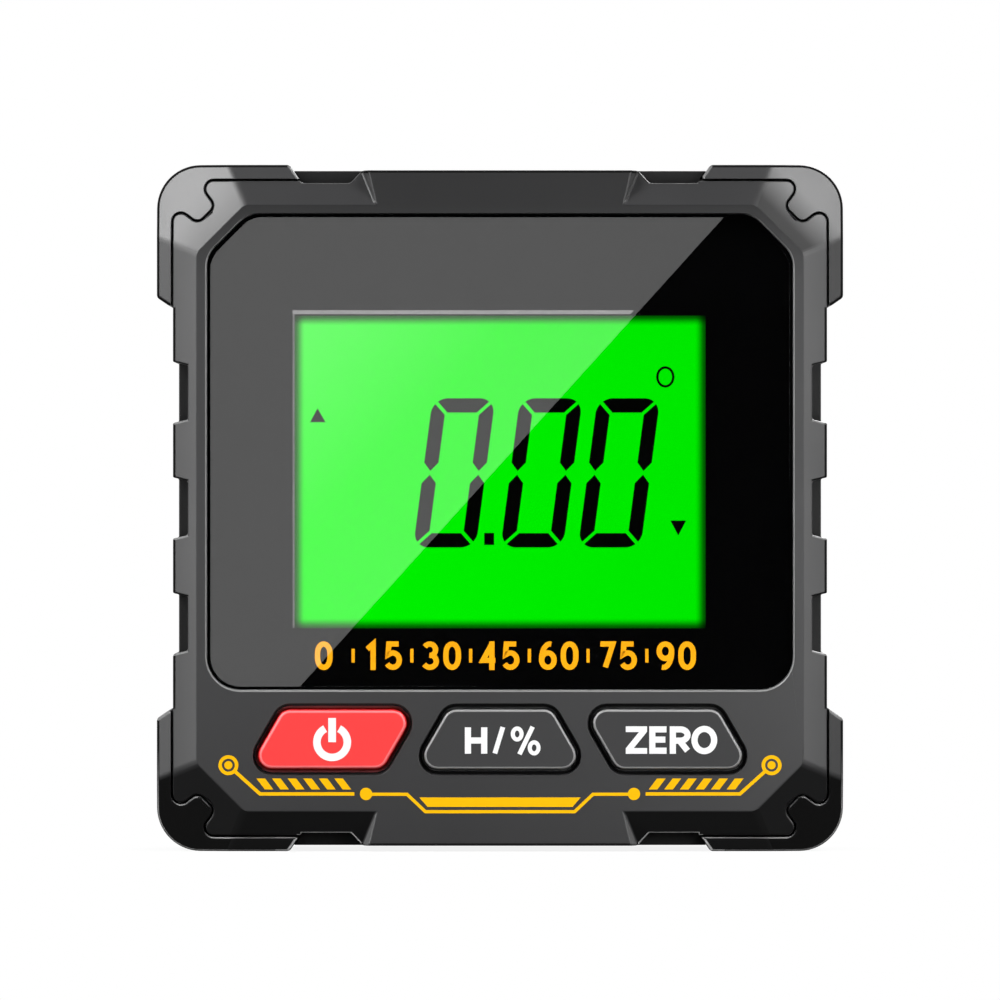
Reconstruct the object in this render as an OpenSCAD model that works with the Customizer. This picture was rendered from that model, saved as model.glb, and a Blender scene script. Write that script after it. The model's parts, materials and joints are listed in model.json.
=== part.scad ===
// Digital angle gauge: square clamshell instrument with keyed corner guards.
// Millimetres, +Z up, front toward -Y, origin at the middle of the base.
// Outlines are drawn in the face plane about the centre of the face and extruded along Y.

/* [Body] */
// Square face measured over the corner guards
face = 60; // [59:0.5:64]
// Depth from the key faces to the rear face
depth = 28; // [27.5:0.5:33]
// Inset of the flat front face from the guard faces
flat_in = 3.5; // [3.2:0.1:3.8]
// Corner chamfer leg of the flat front face
flat_cut = 4.2; // [3.6:0.1:4.8]
// Drop of the front bevel per millimetre outward
bevel_slope = 0.6; // [0.4:0.05:0.65]
// Inset of the flat rear face from the guard faces
rear_in = 3; // [2.8:0.1:3.6]
// Drop of the rear bevel per millimetre outward
rear_slope = 0.7; // [0.4:0.05:0.8]
// Outer corner radius of the guards
corner_r = 3.8; // [3:0.1:4.4]
// Depth of the front shell behind its flat face
parting = 4.6; // [4.2:0.1:5]
// Thickness of the front wall
front_wall = 2.4; // [2.2:0.1:2.6]
// Thickness of the rear wall
rear_wall = 1.8; // [1.6:0.1:2]
// Set-back of the middle top and base faces from the guard faces
mid_in = 0.5; // [0.3:0.1:0.7]
// Side wall measured in from the guard faces
side_in = 3.4; // [3.2:0.1:3.6]
// Top and base wall measured in from the guard faces
top_in = 2.6; // [2.5:0.1:2.8]
// Thickness of the locating lip of the front shell
lip_t = 1.1; // [0.9:0.1:1.3]
// Clearance between shells that slide into each other
fit = 0.15; // [0.1:0.05:0.25]

/* [Corner guards] */
// Middle of the joint line measured in from the guard faces
guard_t = 1.33; // [1.25:0.01:1.4]
// Width of the joint line
joint_gap = 0.18; // [0.12:0.02:0.26]
// Length of a guard arm along the outer face
guard_arm = 11.6; // [10.5:0.1:12]
// Extra arm length at the joint line
guard_slope = 0.85; // [0.6:0.05:1.1]
// Distance of the lobe neck arc from the side
neck_in = 4.96; // [4.9:0.02:5.1]
// Radius of the lobe neck arc
neck_r = 0.77; // [0.72:0.01:0.8]
// Long coordinate of the lobe tip arc
lobe_a = 4.2; // [4.14:0.02:4.26]
// Short coordinate of the lobe tip arc
lobe_b = 3.55; // [3.51:0.02:3.61]
// Radius of the lobe tip arc
lobe_r = 0.7; // [0.66:0.01:0.74]

/* [Grip notches] */
// Spacing of the side notches
notch_pitch = 10.1; // [9.5:0.1:10.5]
// Height of a notch at its mouth
notch_mouth = 5.35; // [4.9:0.05:5.7]
// Height of a notch at its floor
notch_floor = 4.7; // [4.2:0.05:4.85]
// Notch floor of the front shell, in from the guard faces
notch_in = 2.75; // [2.4:0.05:2.9]
// Notch floor of the rear shell, in from the guard faces
rim_in = 1.9; // [1.7:0.05:2.1]

/* [Tabs] */
// Half width of a flat tab where it leaves the flat face
tab_root = 10.83; // [9.5:0.01:11.3]
// Half width of a flat tab at its outer edge
tab_edge = 11.53; // [11.4:0.01:11.7]
// Half width of the tab base at the outer edge
tab_base = 12.05; // [11.9:0.01:12.4]
// Half width over the tab and its foot in the recess
recess_x = 13.1; // [12.7:0.05:13.4]
// Recess floor beside the tab, in from the guard faces
recess_in = 1.62; // [1.55:0.01:1.75]

/* [Window] */
// Width of the window
lens_w = 50.6; // [49.6:0.1:51]
// Height of the window
lens_h = 41; // [40:0.1:41.2]
// Top edge of the window below the top guard face
lens_top = 4.6; // [4.5:0.05:4.8]
// Leg of the upper corner chamfers
lens_cut = 4.5; // [3.8:0.1:5]
// Blend radius of the upper corner chamfers
lens_cut_r = 3; // [2:0.1:3.4]
// Radius of the lower corners
lens_low_r = 2.6; // [1.8:0.1:3.2]
// Thickness of the window
lens_t = 1.2; // [1:0.05:1.3]
// Depth of the window below the flat face
lens_sink = 0.15; // [0.05:0.05:0.25]
// Gap round the window
lens_gap = 0.3; // [0.2:0.02:0.36]
// Thickness of the black border tape
tape_t = 0.15; // [0.1:0.05:0.2]
// Width of the clear view
view_w = 35.9; // [34:0.1:36.3]
// Height of the clear view
view_h = 27.3; // [25:0.1:27.7]
// Centre of the clear view above the lower edge of the window
view_up = 18.75; // [18.5:0.05:19.1]

/* [Keys] */
// Height of a key
key_h = 5.2; // [4.6:0.1:5.4]
// Centre of the keys above the base
key_z = 9.8; // [9.6:0.05:10]
// Outer side of the outer keys at half height
key_out = 20.5; // [19.5:0.05:20.8]
// Inner side of the outer keys at half height
key_in = 8.75; // [8.6:0.05:9.2]
// Half width of the middle key at half height
key_mid = 6; // [5.2:0.05:6.15]
// Lean of the key sides
key_lean = 30; // [24:1:32]
// Corner radius of a key
key_r = 1.2; // [0.9:0.05:1.5]
// Gap round a key in its hole
key_gap = 0.45; // [0.35:0.01:0.5]
// Flange reach behind the wall, measured from the key side
key_flange = 0.9; // [0.75:0.05:0.95]
// Height of the key faces above the flat face
key_proud = 0.4; // [0.35:0.05:0.6]
// Travel of a key
key_travel = 0.3; // [0.2:0.05:0.3]

/* [Display stack] */
// Margin of the display panel round the clear view
lcd_margin = 2.6; // [2.3:0.1:2.7]
// Thickness of the display panel
lcd_t = 2; // [1.8:0.1:2.3]
// Thickness of the light guide
guide_t = 2.5; // [2.4:0.1:2.9]
// Strip of the panel left free for the contact strip
zebra_h = 3.6; // [3.2:0.1:4.2]
// Thickness of the main board
board_t = 1.2; // [1:0.1:1.6]
// Board left outside the middle of a board screw
board_rim = 1.2; // [1.1:0.05:1.4]
// Width of the controller chip
chip_w = 10; // [6:0.5:12]
// Thickness of the controller chip
chip_t = 1.4; // [1:0.1:1.8]
// Distance of the controller chip from the middle
chip_x = 8; // [7:0.5:10]
// Width of the tilt sensor
sensor_w = 4; // [3:0.5:5]
// Thickness of the tilt sensor
sensor_t = 1; // [0.8:0.1:1.2]
// Distance of the board screws from the side of the display panel
board_out = 2.65; // [2.6:0.05:2.8]
// Width of a push switch body
switch_w = 6; // [5:0.1:6.2]
// Height of a push switch body
switch_h = 2; // [1.9:0.05:2.1]
// Diameter of a switch plunger
plunger_d = 3; // [2.4:0.1:3.4]
// Height of a plunger above its switch
plunger_out = 0.6; // [0.5:0.05:0.7]

/* [Power] */
// Diameter of a cell
cell_d = 10.4; // [9.8:0.1:10.5]
// Length of a cell over its nub
cell_l = 44.5; // [43.3:0.1:44.7]
// Space between the two cells
cell_space = 0.8; // [0.6:0.1:1.2]
// Length of a pressed contact spring
spring_l = 3.5; // [3.2:0.1:3.6]
// Thickness of a contact plate
plate_t = 0.4; // [0.3:0.05:0.5]
// Thickness of the compartment walls
bay_wall = 1.6; // [1.5:0.1:1.8]
// Thickness of the battery door
door_t = 1.5; // [1.3:0.1:1.7]
// Gap round the battery door
door_gap = 0.2; // [0.15:0.05:0.3]
// Radius of the hinge barrel of the door
barrel_r = 1.1; // [1:0.05:1.2]
// Diameter of a hinge pin
pin_d = 1.2; // [1:0.05:1.3]
// Radial clearance of a hinge pin
pin_fit = 0.08; // [0.05:0.01:0.1]

/* [Magnets and screws] */
// Diameter of a base magnet
magnet_d = 7; // [5:0.1:7.4]
// Height of a base magnet
magnet_h = 3; // [2:0.1:3.4]
// Half spacing of the magnets across the base
magnet_x = 8; // [6:0.5:10]
// Diameter of a case screw shank
screw_d = 2; // [1.8:0.1:2.2]
// Diameter of a case screw head
head_d = 3.8; // [3.4:0.1:4]
// Outside diameter of a front shell screw post
post_d = 5; // [4.6:0.1:5.2]
// Height of a case screw head
head_h = 1.5; // [1.2:0.1:1.8]
// Length of a case screw shank in its post
bite = 5; // [4:0.5:5.5]

/* [Hidden] */
c = face / 2;
yr = depth / 2;
yk = -depth / 2;
yf = yk + key_proud;
yp = yf + parting;
y_lens = yf + lens_sink;
y_tape = y_lens + lens_t;
y_ledge = y_tape + tape_t;
y_in = yf + front_wall;
y_guide = y_in + lcd_t;
y_board = y_guide + guide_t;
y_back = y_board + board_t;
y_post = y_back + 1;
y_rin = yr - rear_wall;
y_lip = yp + 1.4;
rib_x = c - guard_t - joint_gap / 2;
flat_half = c - flat_in;
flat_diag = (2 * flat_half - flat_cut) / sqrt(2);
rear_half = c - rear_in;
rear_diag = rear_half * sqrt(2) - 2.7;
lobe_turn = atan2(lobe_b - guard_t - neck_r, lobe_a - neck_in);
lobe_gap = norm([lobe_a - neck_in, lobe_b - guard_t - neck_r]);
lobe_ang = lobe_turn + acos((neck_r + lobe_r) / lobe_gap);
lens_zt = c - lens_top;
lens_zb = lens_zt - lens_h;
view_zc = lens_zb + view_up;
lcd_w = view_w + 2 * lcd_margin;
lcd_h = view_h + 2 * lcd_margin;
lcd_zb = view_zc - lcd_h / 2;
key_zc = key_z - c;
key_xc = (key_out + key_in) / 2;
y_plunger = y_board - switch_h - plunger_out;
y_flange = y_in + 0.1;
bay_x = (cell_l + spring_l) / 2 + plate_t;
cell_pitch = cell_d + cell_space;
bay_z = cell_pitch / 2 + cell_d / 2 + 0.4;
y_door = yr - door_t;
y_cell = y_door - 0.3 - cell_d / 2;
y_bay = y_cell - cell_d / 2 - 0.3;
axis_y = yr - barrel_r;
axis_z = c - bay_z - 0.2;
board_x = lcd_w / 2 + board_out + board_rim;
open_x = bay_x + 0.35;
open_zb = axis_z - barrel_r - door_gap;
open_zt = c + bay_z + 1;
door_x = open_x - door_gap;
post_lo = [c - 6.6, 13 - c];
post_hi = [c - 7.4, c - 7.6];
magnet_y = [yr - 15.5, yr - 7.7];
seat_d = 3;
big = 2 * face;

// Points of an arc from angle a0 to a1 about p
function arc(p, r, a0, a1, n) =
    [for (i = [0:n]) p + r * [cos(a0 + (a1 - a0) * i / n), sin(a0 + (a1 - a0) * i / n)]];
// Same points in the opposite order
function rev(p) = [for (i = [len(p) - 1:-1:0]) p[i]];
// Points with the two coordinates exchanged
function swap(p) = [for (q = p) [q[1], q[0]]];
// Points multiplied axis by axis
function flip(p, sx, sz) = [for (q = p) [sx * q[0], sz * q[1]]];
// Points measured inward from the corner, turned into face coordinates
function from_corner(p) = [for (q = p) [c - q[0], c - q[1]]];
// A quarter outline, from the side to the top, completed by mirroring
function four(q) = concat(q, rev(flip(q, -1, 1)), flip(q, -1, -1), rev(flip(q, 1, -1)));
// Arc that rounds the corner p1 between p0 and p2
function blend(p0, p1, p2, r, n) =
    let (a = (p0 - p1) / norm(p0 - p1),
        b = (p2 - p1) / norm(p2 - p1),
        h = acos(a * b) / 2,
        m = p1 + (a + b) / norm(a + b) * r / sin(h),
        s = p1 + a * r / tan(h) - m,
        e = p1 + b * r / tan(h) - m,
        a0 = atan2(s[1], s[0]),
        da = (atan2(e[1], e[0]) - a0 + 540) % 360 - 180)
    arc(m, r, a0, a0 + da, n);
// Outline with every corner rounded by its own radius
function rounded(p, r, n) =
    let (k = len(p))
    [for (i = [0:k - 1]) each blend(p[(i + k - 1) % k], p[i], p[(i + 1) % k], r[i], n)];
// Half of the joint line round the guard lobe, shifted by d toward the body
function lobe_half(d) =
    concat(arc([neck_in, guard_t + neck_r], neck_r - d, 270, lobe_ang, 8),
        arc([lobe_a, lobe_b], lobe_r + d, lobe_ang - 180, 45, 8));
// Whole joint line from the side arm to the top arm
function lobe(d) = concat(swap(lobe_half(d)), rev(lobe_half(d)));
// Half height of a grip notch at the distance x from the middle
function notch_half(x) =
    (notch_floor + (x - c + notch_in) / (rib_x - c + notch_in) * (notch_mouth - notch_floor)) / 2;
// Quarter of the side: ribs, with the notch floors at x
function side_line(x) =
    [[x, notch_half(x)],
        [rib_x, notch_mouth / 2],
        [rib_x, notch_pitch - notch_mouth / 2],
        [x, notch_pitch - notch_half(x)],
        [x, notch_pitch + notch_half(x)],
        [rib_x, notch_pitch + notch_mouth / 2]];
// End of the top guard arm at the inset v
function arm_end(v) = c - guard_arm - guard_slope * v / guard_t;

front_line = four(concat(side_line(c - notch_in), from_corner(lobe(joint_gap / 2)),
    [[arm_end(recess_in), rib_x],
        [arm_end(recess_in), c - recess_in],
        [recess_x, c - recess_in],
        [tab_base, c - mid_in]]));
// The rear shell carries the guards: its outline follows theirs without a gap
seat_in = guard_t - joint_gap / 2;
seat_end = guard_arm + guard_slope;
rear_line = four(concat(side_line(c - rim_in),
    [[rib_x, c - seat_end], [c - seat_in, c - seat_end]],
    from_corner(lobe(-joint_gap / 2)),
    [[c - seat_end, c - seat_in],
        [c - guard_arm - guard_slope * mid_in / seat_in, c - mid_in]]));
guard_line = from_corner(concat([[0, guard_arm]],
    [[seat_in, seat_end]], lobe(-joint_gap / 2), [[seat_end, seat_in]], [[guard_arm, 0]],
    arc([corner_r, corner_r], corner_r, 270, 180, 14)));

// Cavity outline, shrunk by d, with its corners cut behind the guard lobes
function cavity_line(d) =
    let (x = c - side_in - d,
        z = c - top_in - d,
        s = 2 * c - 11.1 - d * sqrt(2))
    four([[x, s - x], [s - z, z]]);
// Window outline grown by g
function lens_line(g) =
    let (x = lens_w / 2 + g,
        zt = lens_zt + g,
        zb = lens_zb - g,
        k = lens_cut + (2 - sqrt(2)) * g)
    rounded([[x, zb], [x, zt - k], [x - k, zt], [k - x, zt], [-x, zt - k], [-x, zb]],
        [lens_low_r + g, lens_cut_r + g, lens_cut_r + g, lens_cut_r + g, lens_cut_r + g,
            lens_low_r + g], 8);
// Key outline grown by g: left and right side at half height and their leans
function key_line(xl, sl, xr, sr, g) =
    let (h = key_h / 2 + g,
        w = g / cos(key_lean),
        t = tan(key_lean) * h)
    [for (q = rounded([[xl - w - sl * t, -h], [xr + w - sr * t, -h], [xr + w + sr * t, h],
        [xl - w + sl * t, h]], [key_r + g, key_r + g, key_r + g, key_r + g], 7)) q + [0, key_zc]];
// Outline of key number k (left, middle, right) grown by g
function key_shape(k, g) =
    k == 0 ? key_line(-key_out, 1, -key_in, 1, g)
    : k == 1 ? key_line(-key_mid, 1, key_mid, -1, g)
    : key_line(key_in, -1, key_out, -1, g);

// Extrude a face outline from depth y0 to y1
module slab(y0, y1) {
    translate([0, y1, c])
        rotate([90, 0, 0])
            linear_extrude(height = y1 - y0)
                children();
}

// Rectangle in the face plane, given by its centre and size
module plate(x, z, w, h) {
    translate([x - w / 2, z - h / 2])
        square([w, h]);
}

// Round bar along Y at a point of the face plane
module rod(p, r, y0, y1) {
    translate([p[0], y1, p[1] + c])
        rotate([90, 0, 0])
            cylinder(h = y1 - y0, r = r, $fn = 48);
}

// Round bar along X
module bar(y, z, r, x0, x1) {
    translate([x0, y, z])
        rotate([0, 90, 0])
            cylinder(h = x1 - x0, r = r, $fn = 48);
}

// Box from its two corners
module box(a, b) {
    translate(a)
        cube(b - a);
}

// Eight wedges that leave the bevels of the front
module front_bevel() {
    for (i = [0:7]) {
        a = i % 2 == 0 ? flat_half : flat_diag;
        translate([0, 0, c])
            rotate([0, -45 * i, 0])
                linear_extrude(height = big, center = true)
                    polygon([[a - 2, yf - 2 * bevel_slope],
                        [a + 20, yf + 20 * bevel_slope],
                        [a + 20, yf - 2 * bevel_slope]]);
    }
}

// Eight wedges that leave the bevels of the rear
module rear_bevel() {
    for (i = [0:7]) {
        a = i % 2 == 0 ? rear_half : rear_diag;
        translate([0, 0, c])
            rotate([0, -45 * i, 0])
                linear_extrude(height = big, center = true)
                    polygon([[a - 2, yr + 2 * rear_slope],
                        [a + 20, yr - 20 * rear_slope],
                        [a + 20, yr + 2 * rear_slope]]);
    }
}

// Flat tab that runs from the flat face to the edge, with drafted sides
module tab(sz) {
    z0 = flat_half - 0.6;
    z1 = c - mid_in;
    grow = (tab_edge - tab_root) / (z1 - flat_half);
    foot = (tab_base - tab_edge) / (bevel_slope * (z1 - flat_half)) * parting;
    w0 = tab_root - 0.6 * grow;
    pts = [[-w0, yf, z0], [w0, yf, z0], [tab_edge, yf, z1], [-tab_edge, yf, z1],
        [-w0 - foot, yp, z0], [w0 + foot, yp, z0], [tab_edge + foot, yp, z1],
        [-tab_edge - foot, yp, z1]];
    translate([0, 0, c])
        mirror([0, 0, sz < 0 ? 1 : 0])
            intersection() {
                polyhedron(points = pts, faces = [[0, 3, 2, 1], [4, 5, 6, 7], [0, 1, 5, 4],
                    [1, 2, 6, 5], [2, 3, 7, 6], [3, 0, 4, 7]]);
                box([-tab_base, yf - 1, z0 - 1], [tab_base, yp + 1, z1 + 1]);
            }
}

// Screw post places, mirrored to both sides
module posts() {
    for (s = [-1, 1]) {
        for (p = [post_lo, post_hi]) {
            translate([s * p[0], 0, p[1]])
                children();
        }
    }
}

// Board screw places
board_pts = [[-1, -1], [1, -1], [-1, 1], [1, 1]];
function board_pt(q) = [q[0] * (lcd_w / 2 + board_out), view_zc + q[1] * 13];

module front_shell() {
    color("dimgray")
        difference() {
            union() {
                difference() {
                    slab(yf, yp)
                        polygon(front_line);
                    front_bevel();
                }
                tab(1);
                tab(-1);
                difference() {
                    slab(yp - 0.5, y_lip)
                        polygon(cavity_line(fit));
                    slab(yp - 1, y_lip + 1)
                        polygon(cavity_line(fit + lip_t));
                }
                difference() {
                    slab(y_in - 0.5, y_board - 0.3)
                        plate(0, view_zc, lcd_w + 2.2, lcd_h + 2.2);
                    slab(y_in - 1, y_board)
                        plate(0, view_zc, lcd_w + 0.4, lcd_h + 0.4);
                }
                posts()
                    rod([0, 0], post_d / 2, y_in - 0.5, y_post);
                for (q = board_pts) {
                    rod(board_pt(q), 1.8, y_in - 0.5, y_board);
                }
            }
            difference() {
                slab(y_in, yp + 0.1)
                    polygon(cavity_line(fit + lip_t));
                slab(y_in - 1, yp + 1)
                    difference() {
                        plate(0, view_zc, lcd_w + 2.2, lcd_h + 2.2);
                        plate(0, view_zc, lcd_w + 0.4, lcd_h + 0.4);
                    }
                posts()
                    rod([0, 0], post_d / 2, y_in - 1, yp + 1);
                for (q = board_pts) {
                    rod(board_pt(q), 1.8, y_in - 1, yp + 1);
                }
            }
            slab(yf - 1, y_ledge)
                polygon(lens_line(lens_gap));
            slab(y_ledge - 0.1, y_in + 0.1)
                plate(0, view_zc, view_w + 2.6, view_h + 2.6);
            for (k = [0:2]) {
                slab(yf - 1, y_in + 0.1)
                    polygon(key_shape(k, key_gap));
            }
            posts()
                rod([0, 0], screw_d / 2 + 0.02, y_in + 0.6, y_post + 1);
            for (q = board_pts) {
                rod(board_pt(q), 0.77, y_in + 0.4, y_board + 1);
            }
        }
}

module rear_shell() {
    color("dimgray")
        difference() {
            union() {
                difference() {
                    slab(yp, yr)
                        polygon(rear_line);
                    rear_bevel();
                    slab(yp - 1, y_rin)
                        polygon(cavity_line(0));
                }
                box([-c + side_in - 0.4, y_bay - bay_wall, c - bay_z - bay_wall],
                    [c - side_in + 0.4, y_rin + 0.3, c + bay_z + bay_wall]);
                posts()
                    rod([0, 0], head_d / 2 + 1.3, y_post, y_rin + 0.3);
                for (s = [-1, 1]) {
                    for (y = magnet_y) {
                        translate([s * magnet_x, y, mid_in + 0.2])
                            cylinder(h = magnet_h + 1.3, d = magnet_d + 2.6, $fn = 48);
                    }
                }
            }
            box([-bay_x, y_bay, c - bay_z], [bay_x, y_rin + 0.1, c + bay_z]);
            box([-open_x, y_rin, open_zb], [open_x, yr + 1, open_zt]);
            bar(axis_y, axis_z, barrel_r + door_gap, -open_x, open_x);
            bar(axis_y, axis_z, pin_d / 2 + pin_fit, -open_x - 1.2, open_x + 1.2);
            rod([0, open_zt - c], 4.5, yr - 0.9, yr + 1);
            for (s = [-1, 1]) {
                box([bay_x - plate_t - 0.15, y_back - 0.2, c + s * cell_pitch / 2 - 1.3],
                    [bay_x, y_bay + 1, c + s * cell_pitch / 2 + 1.3]);
            }
            posts() {
                rod([0, 0], head_d / 2 + 0.25, y_post + seat_d, yr + 1);
                rod([0, 0], screw_d / 2 + 0.2, y_post - 1, y_post + seat_d + 0.1);
            }
            for (s = [-1, 1]) {
                for (y = magnet_y) {
                    translate([s * magnet_x, y, mid_in - 1])
                        cylinder(h = magnet_h + 1, d = magnet_d + 0.1, $fn = 48);
                }
            }
        }
}

// Corner guard on the side sx and the height sz
module guard(sx, sz) {
    color("gray")
        difference() {
            slab(yf, yr)
                polygon(flip(guard_line, sx, sz));
            front_bevel();
            rear_bevel();
        }
}

module guard_top_left() {
    guard(-1, 1);
}

module guard_top_right() {
    guard(1, 1);
}

module guard_low_left() {
    guard(-1, -1);
}

module guard_low_right() {
    guard(1, -1);
}

module lens() {
    color("lightcyan", 0.4)
        slab(y_lens, y_tape)
            polygon(lens_line(0));
}

module lens_tape() {
    color("black")
        slab(y_tape, y_ledge)
            difference() {
                polygon(lens_line(lens_gap - 0.05));
                plate(0, view_zc, view_w, view_h);
            }
}

module lcd_panel() {
    color("green")
        slab(y_in, y_guide)
            plate(0, view_zc, lcd_w, lcd_h);
}

module light_guide() {
    color("honeydew")
        slab(y_guide, y_board)
            difference() {
                plate(0, view_zc + zebra_h / 2, lcd_w, lcd_h - zebra_h);
                plate(0, lcd_zb + zebra_h + 0.8, 3.4, 1.6);
            }
}

module backlight_led() {
    color("white")
        slab(y_guide + 0.3, y_board)
            plate(0, lcd_zb + zebra_h + 0.75, 3, 1.3);
}

module zebra_strip() {
    color("pink")
        slab(y_guide, y_board)
            plate(0, lcd_zb + zebra_h / 2, lcd_w - 5, zebra_h - 1);
}

module main_board() {
    zl = mid_in + magnet_h + 1.9 - c;
    zh = c - 4.8;
    xl = post_lo[0] - post_d / 2 - 1;
    xh = post_hi[0] - post_d / 2 - 0.9;
    zn = post_lo[1] + post_d / 2 + 0.9;
    zm = post_hi[1] - post_d / 2 - 1.2;
    color("darkgreen")
        slab(y_board, y_back)
            difference() {
                polygon([[-xl, zl], [xl, zl], [xl, zn], [board_x, zn], [board_x, zm], [xh, zm],
                    [xh, zh], [-xh, zh], [-xh, zm], [-board_x, zm], [-board_x, zn], [-xl, zn]]);
                for (q = board_pts) {
                    translate(board_pt(q))
                        circle(d = 1.9, $fn = 32);
                }
            }
}

module controller_chip() {
    color("black")
        slab(y_back, y_back + chip_t)
            plate(-chip_x, 0, chip_w, chip_w);
}

module tilt_sensor() {
    color("black")
        slab(y_back, y_back + sensor_t)
            plate(2 * sensor_w, 2 * sensor_w, sensor_w, sensor_w);
}

// Push switch body with a blind bore for its plunger
module switch(x) {
    color("silver")
        difference() {
            slab(y_board - switch_h, y_board)
                plate(x, key_zc, switch_w, switch_w);
            rod([x, key_zc], plunger_d / 2 + 0.08, y_board - switch_h - 1, y_board - 0.4);
        }
}

module switch_left() {
    switch(-key_xc);
}

module switch_mid() {
    switch(0);
}

module switch_right() {
    switch(key_xc);
}

// Plunger that follows its key
module plunger(x) {
    color("black")
        rod([x, key_zc], plunger_d / 2, y_plunger, y_board - 0.5 - key_travel);
}

module plunger_left() {
    plunger(-key_xc);
}

module plunger_mid() {
    plunger(0);
}

module plunger_right() {
    plunger(key_xc);
}

// Key cap with its flange behind the wall and a stem on the plunger
module key(k, x) {
    slab(yk, y_flange + 0.1)
        polygon(key_shape(k, 0));
    slab(y_flange, y_flange + 0.8)
        polygon(key_shape(k, key_flange));
    rod([x, key_zc], plunger_d / 2 + 0.1, y_flange + 0.5, y_plunger);
}

module power_key() {
    color("red")
        key(0, -key_xc);
}

module mode_key() {
    color("gray")
        key(1, 0);
}

module zero_key() {
    color("gray")
        key(2, key_xc);
}

// Cell with its nub on the side s
module cell(s) {
    x = s * (bay_x - plate_t);
    z = c + s * cell_pitch / 2;
    translate([x, y_cell, z])
        rotate([0, -90 * s, 0]) {
            cylinder(h = 1.5, d = 3.6, $fn = 48);
            translate([0, 0, 1.2])
                cylinder(h = cell_l - 1.2, d = cell_d, $fn = 64);
        }
}

module cell_upper() {
    color("goldenrod")
        cell(1);
}

module cell_lower() {
    color("goldenrod")
        cell(-1);
}

module contact_bridge() {
    color("silver")
        box([-bay_x, y_cell - 4, c - cell_pitch / 2 - 4],
            [plate_t - bay_x, y_cell + 4, c + cell_pitch / 2 + 4]);
}

// Contact plate of one cell with its solder tab to the board
module contact(s) {
    z = c + s * cell_pitch / 2;
    color("silver") {
        box([bay_x - plate_t, y_cell - 4, z - 4], [bay_x, y_cell + 4, z + 4]);
        box([bay_x - plate_t, y_back, z - 1], [bay_x, y_cell, z + 1]);
    }
}

module contact_positive() {
    contact(1);
}

module contact_negative() {
    contact(-1);
}

// Coned wire spring from the contact plate to the flat end of a cell
module spring(s) {
    wire = 0.35;
    turns = 3;
    n = 60;
    m = 8;
    pts = [for (i = [0:n])
        let (a = 360 * turns * i / n,
            r = 3.6 - 1.2 * i / n,
            h = wire + (spring_l - 2 * wire) * i / n)
        for (j = [0:m - 1])
            let (b = 360 * j / m,
                q = r + wire * cos(b))
            [q * cos(a), q * sin(a), h + wire * sin(b)]];
    skin = [for (i = [0:n - 1])
        for (j = [0:m - 1])
            let (k = (j + 1) % m)
            each [[i * m + j, i * m + k, (i + 1) * m + k],
                [i * m + j, (i + 1) * m + k, (i + 1) * m + j]]];
    ends = [[for (j = [m - 1:-1:0]) j], [for (j = [0:m - 1]) n * m + j]];
    color("silver")
        translate([-s * (bay_x - plate_t), y_cell, c + s * cell_pitch / 2])
            rotate([0, 90 * s, 0])
                polyhedron(points = pts, faces = concat(skin, ends), convexity = 8);
}

module spring_upper() {
    spring(1);
}

module spring_lower() {
    spring(-1);
}

module battery_door() {
    color("dimgray")
        difference() {
            union() {
                box([-door_x, y_door, axis_z], [door_x, yr, open_zt - door_gap]);
                bar(axis_y, axis_z, barrel_r, -door_x, door_x);
                bar(axis_y, axis_z, pin_d / 2, -open_x - 0.9, open_x + 0.9);
            }
            for (i = [0:4]) {
                box([-6, yr - 0.4, open_zt - 8.6 + 1.4 * i], [6, yr + 1, open_zt - 7.9 + 1.4 * i]);
            }
        }
}

// Disc magnet in the base
module magnet(s, y) {
    color("silver")
        translate([s * magnet_x, y, mid_in])
            cylinder(h = magnet_h, d = magnet_d, $fn = 48);
}

module magnet_front_left() {
    magnet(-1, magnet_y[0]);
}

module magnet_front_right() {
    magnet(1, magnet_y[0]);
}

module magnet_rear_left() {
    magnet(-1, magnet_y[1]);
}

module magnet_rear_right() {
    magnet(1, magnet_y[1]);
}

// Pan head screw along Y with a cross slot, head seated at y0
module screw(r, hr, hh, y0, l) {
    difference() {
        union() {
            rod([0, 0], r, y0 - l, y0 + 0.1);
            rod([0, 0], hr, y0, y0 + hh);
        }
        for (a = [0, 90]) {
            translate([0, y0 + hh, c])
                rotate([0, a, 0])
                    box([-hr * 0.6, -hh * 0.5, -0.25], [hr * 0.6, 1, 0.25]);
        }
    }
}

module case_screws() {
    color("silver")
        posts()
            screw(screw_d / 2, head_d / 2, head_h, y_post + seat_d, seat_d + bite);
}

module board_screws() {
    color("silver")
        for (q = board_pts) {
            translate([board_pt(q)[0], 0, board_pt(q)[1]])
                screw(0.75, 1.4, 0.9, y_back, board_t + 3.4);
        }
}

front_shell();
rear_shell();
guard_top_left();
guard_top_right();
guard_low_left();
guard_low_right();
lens();
lens_tape();
lcd_panel();
light_guide();
backlight_led();
zebra_strip();
main_board();
controller_chip();
tilt_sensor();
switch_left();
switch_mid();
switch_right();
plunger_left();
plunger_mid();
plunger_right();
power_key();
mode_key();
zero_key();
cell_upper();
cell_lower();
contact_bridge();
contact_positive();
contact_negative();
spring_upper();
spring_lower();
battery_door();
magnet_front_left();
magnet_front_right();
magnet_rear_left();
magnet_rear_right();
case_screws();
board_screws();
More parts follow.
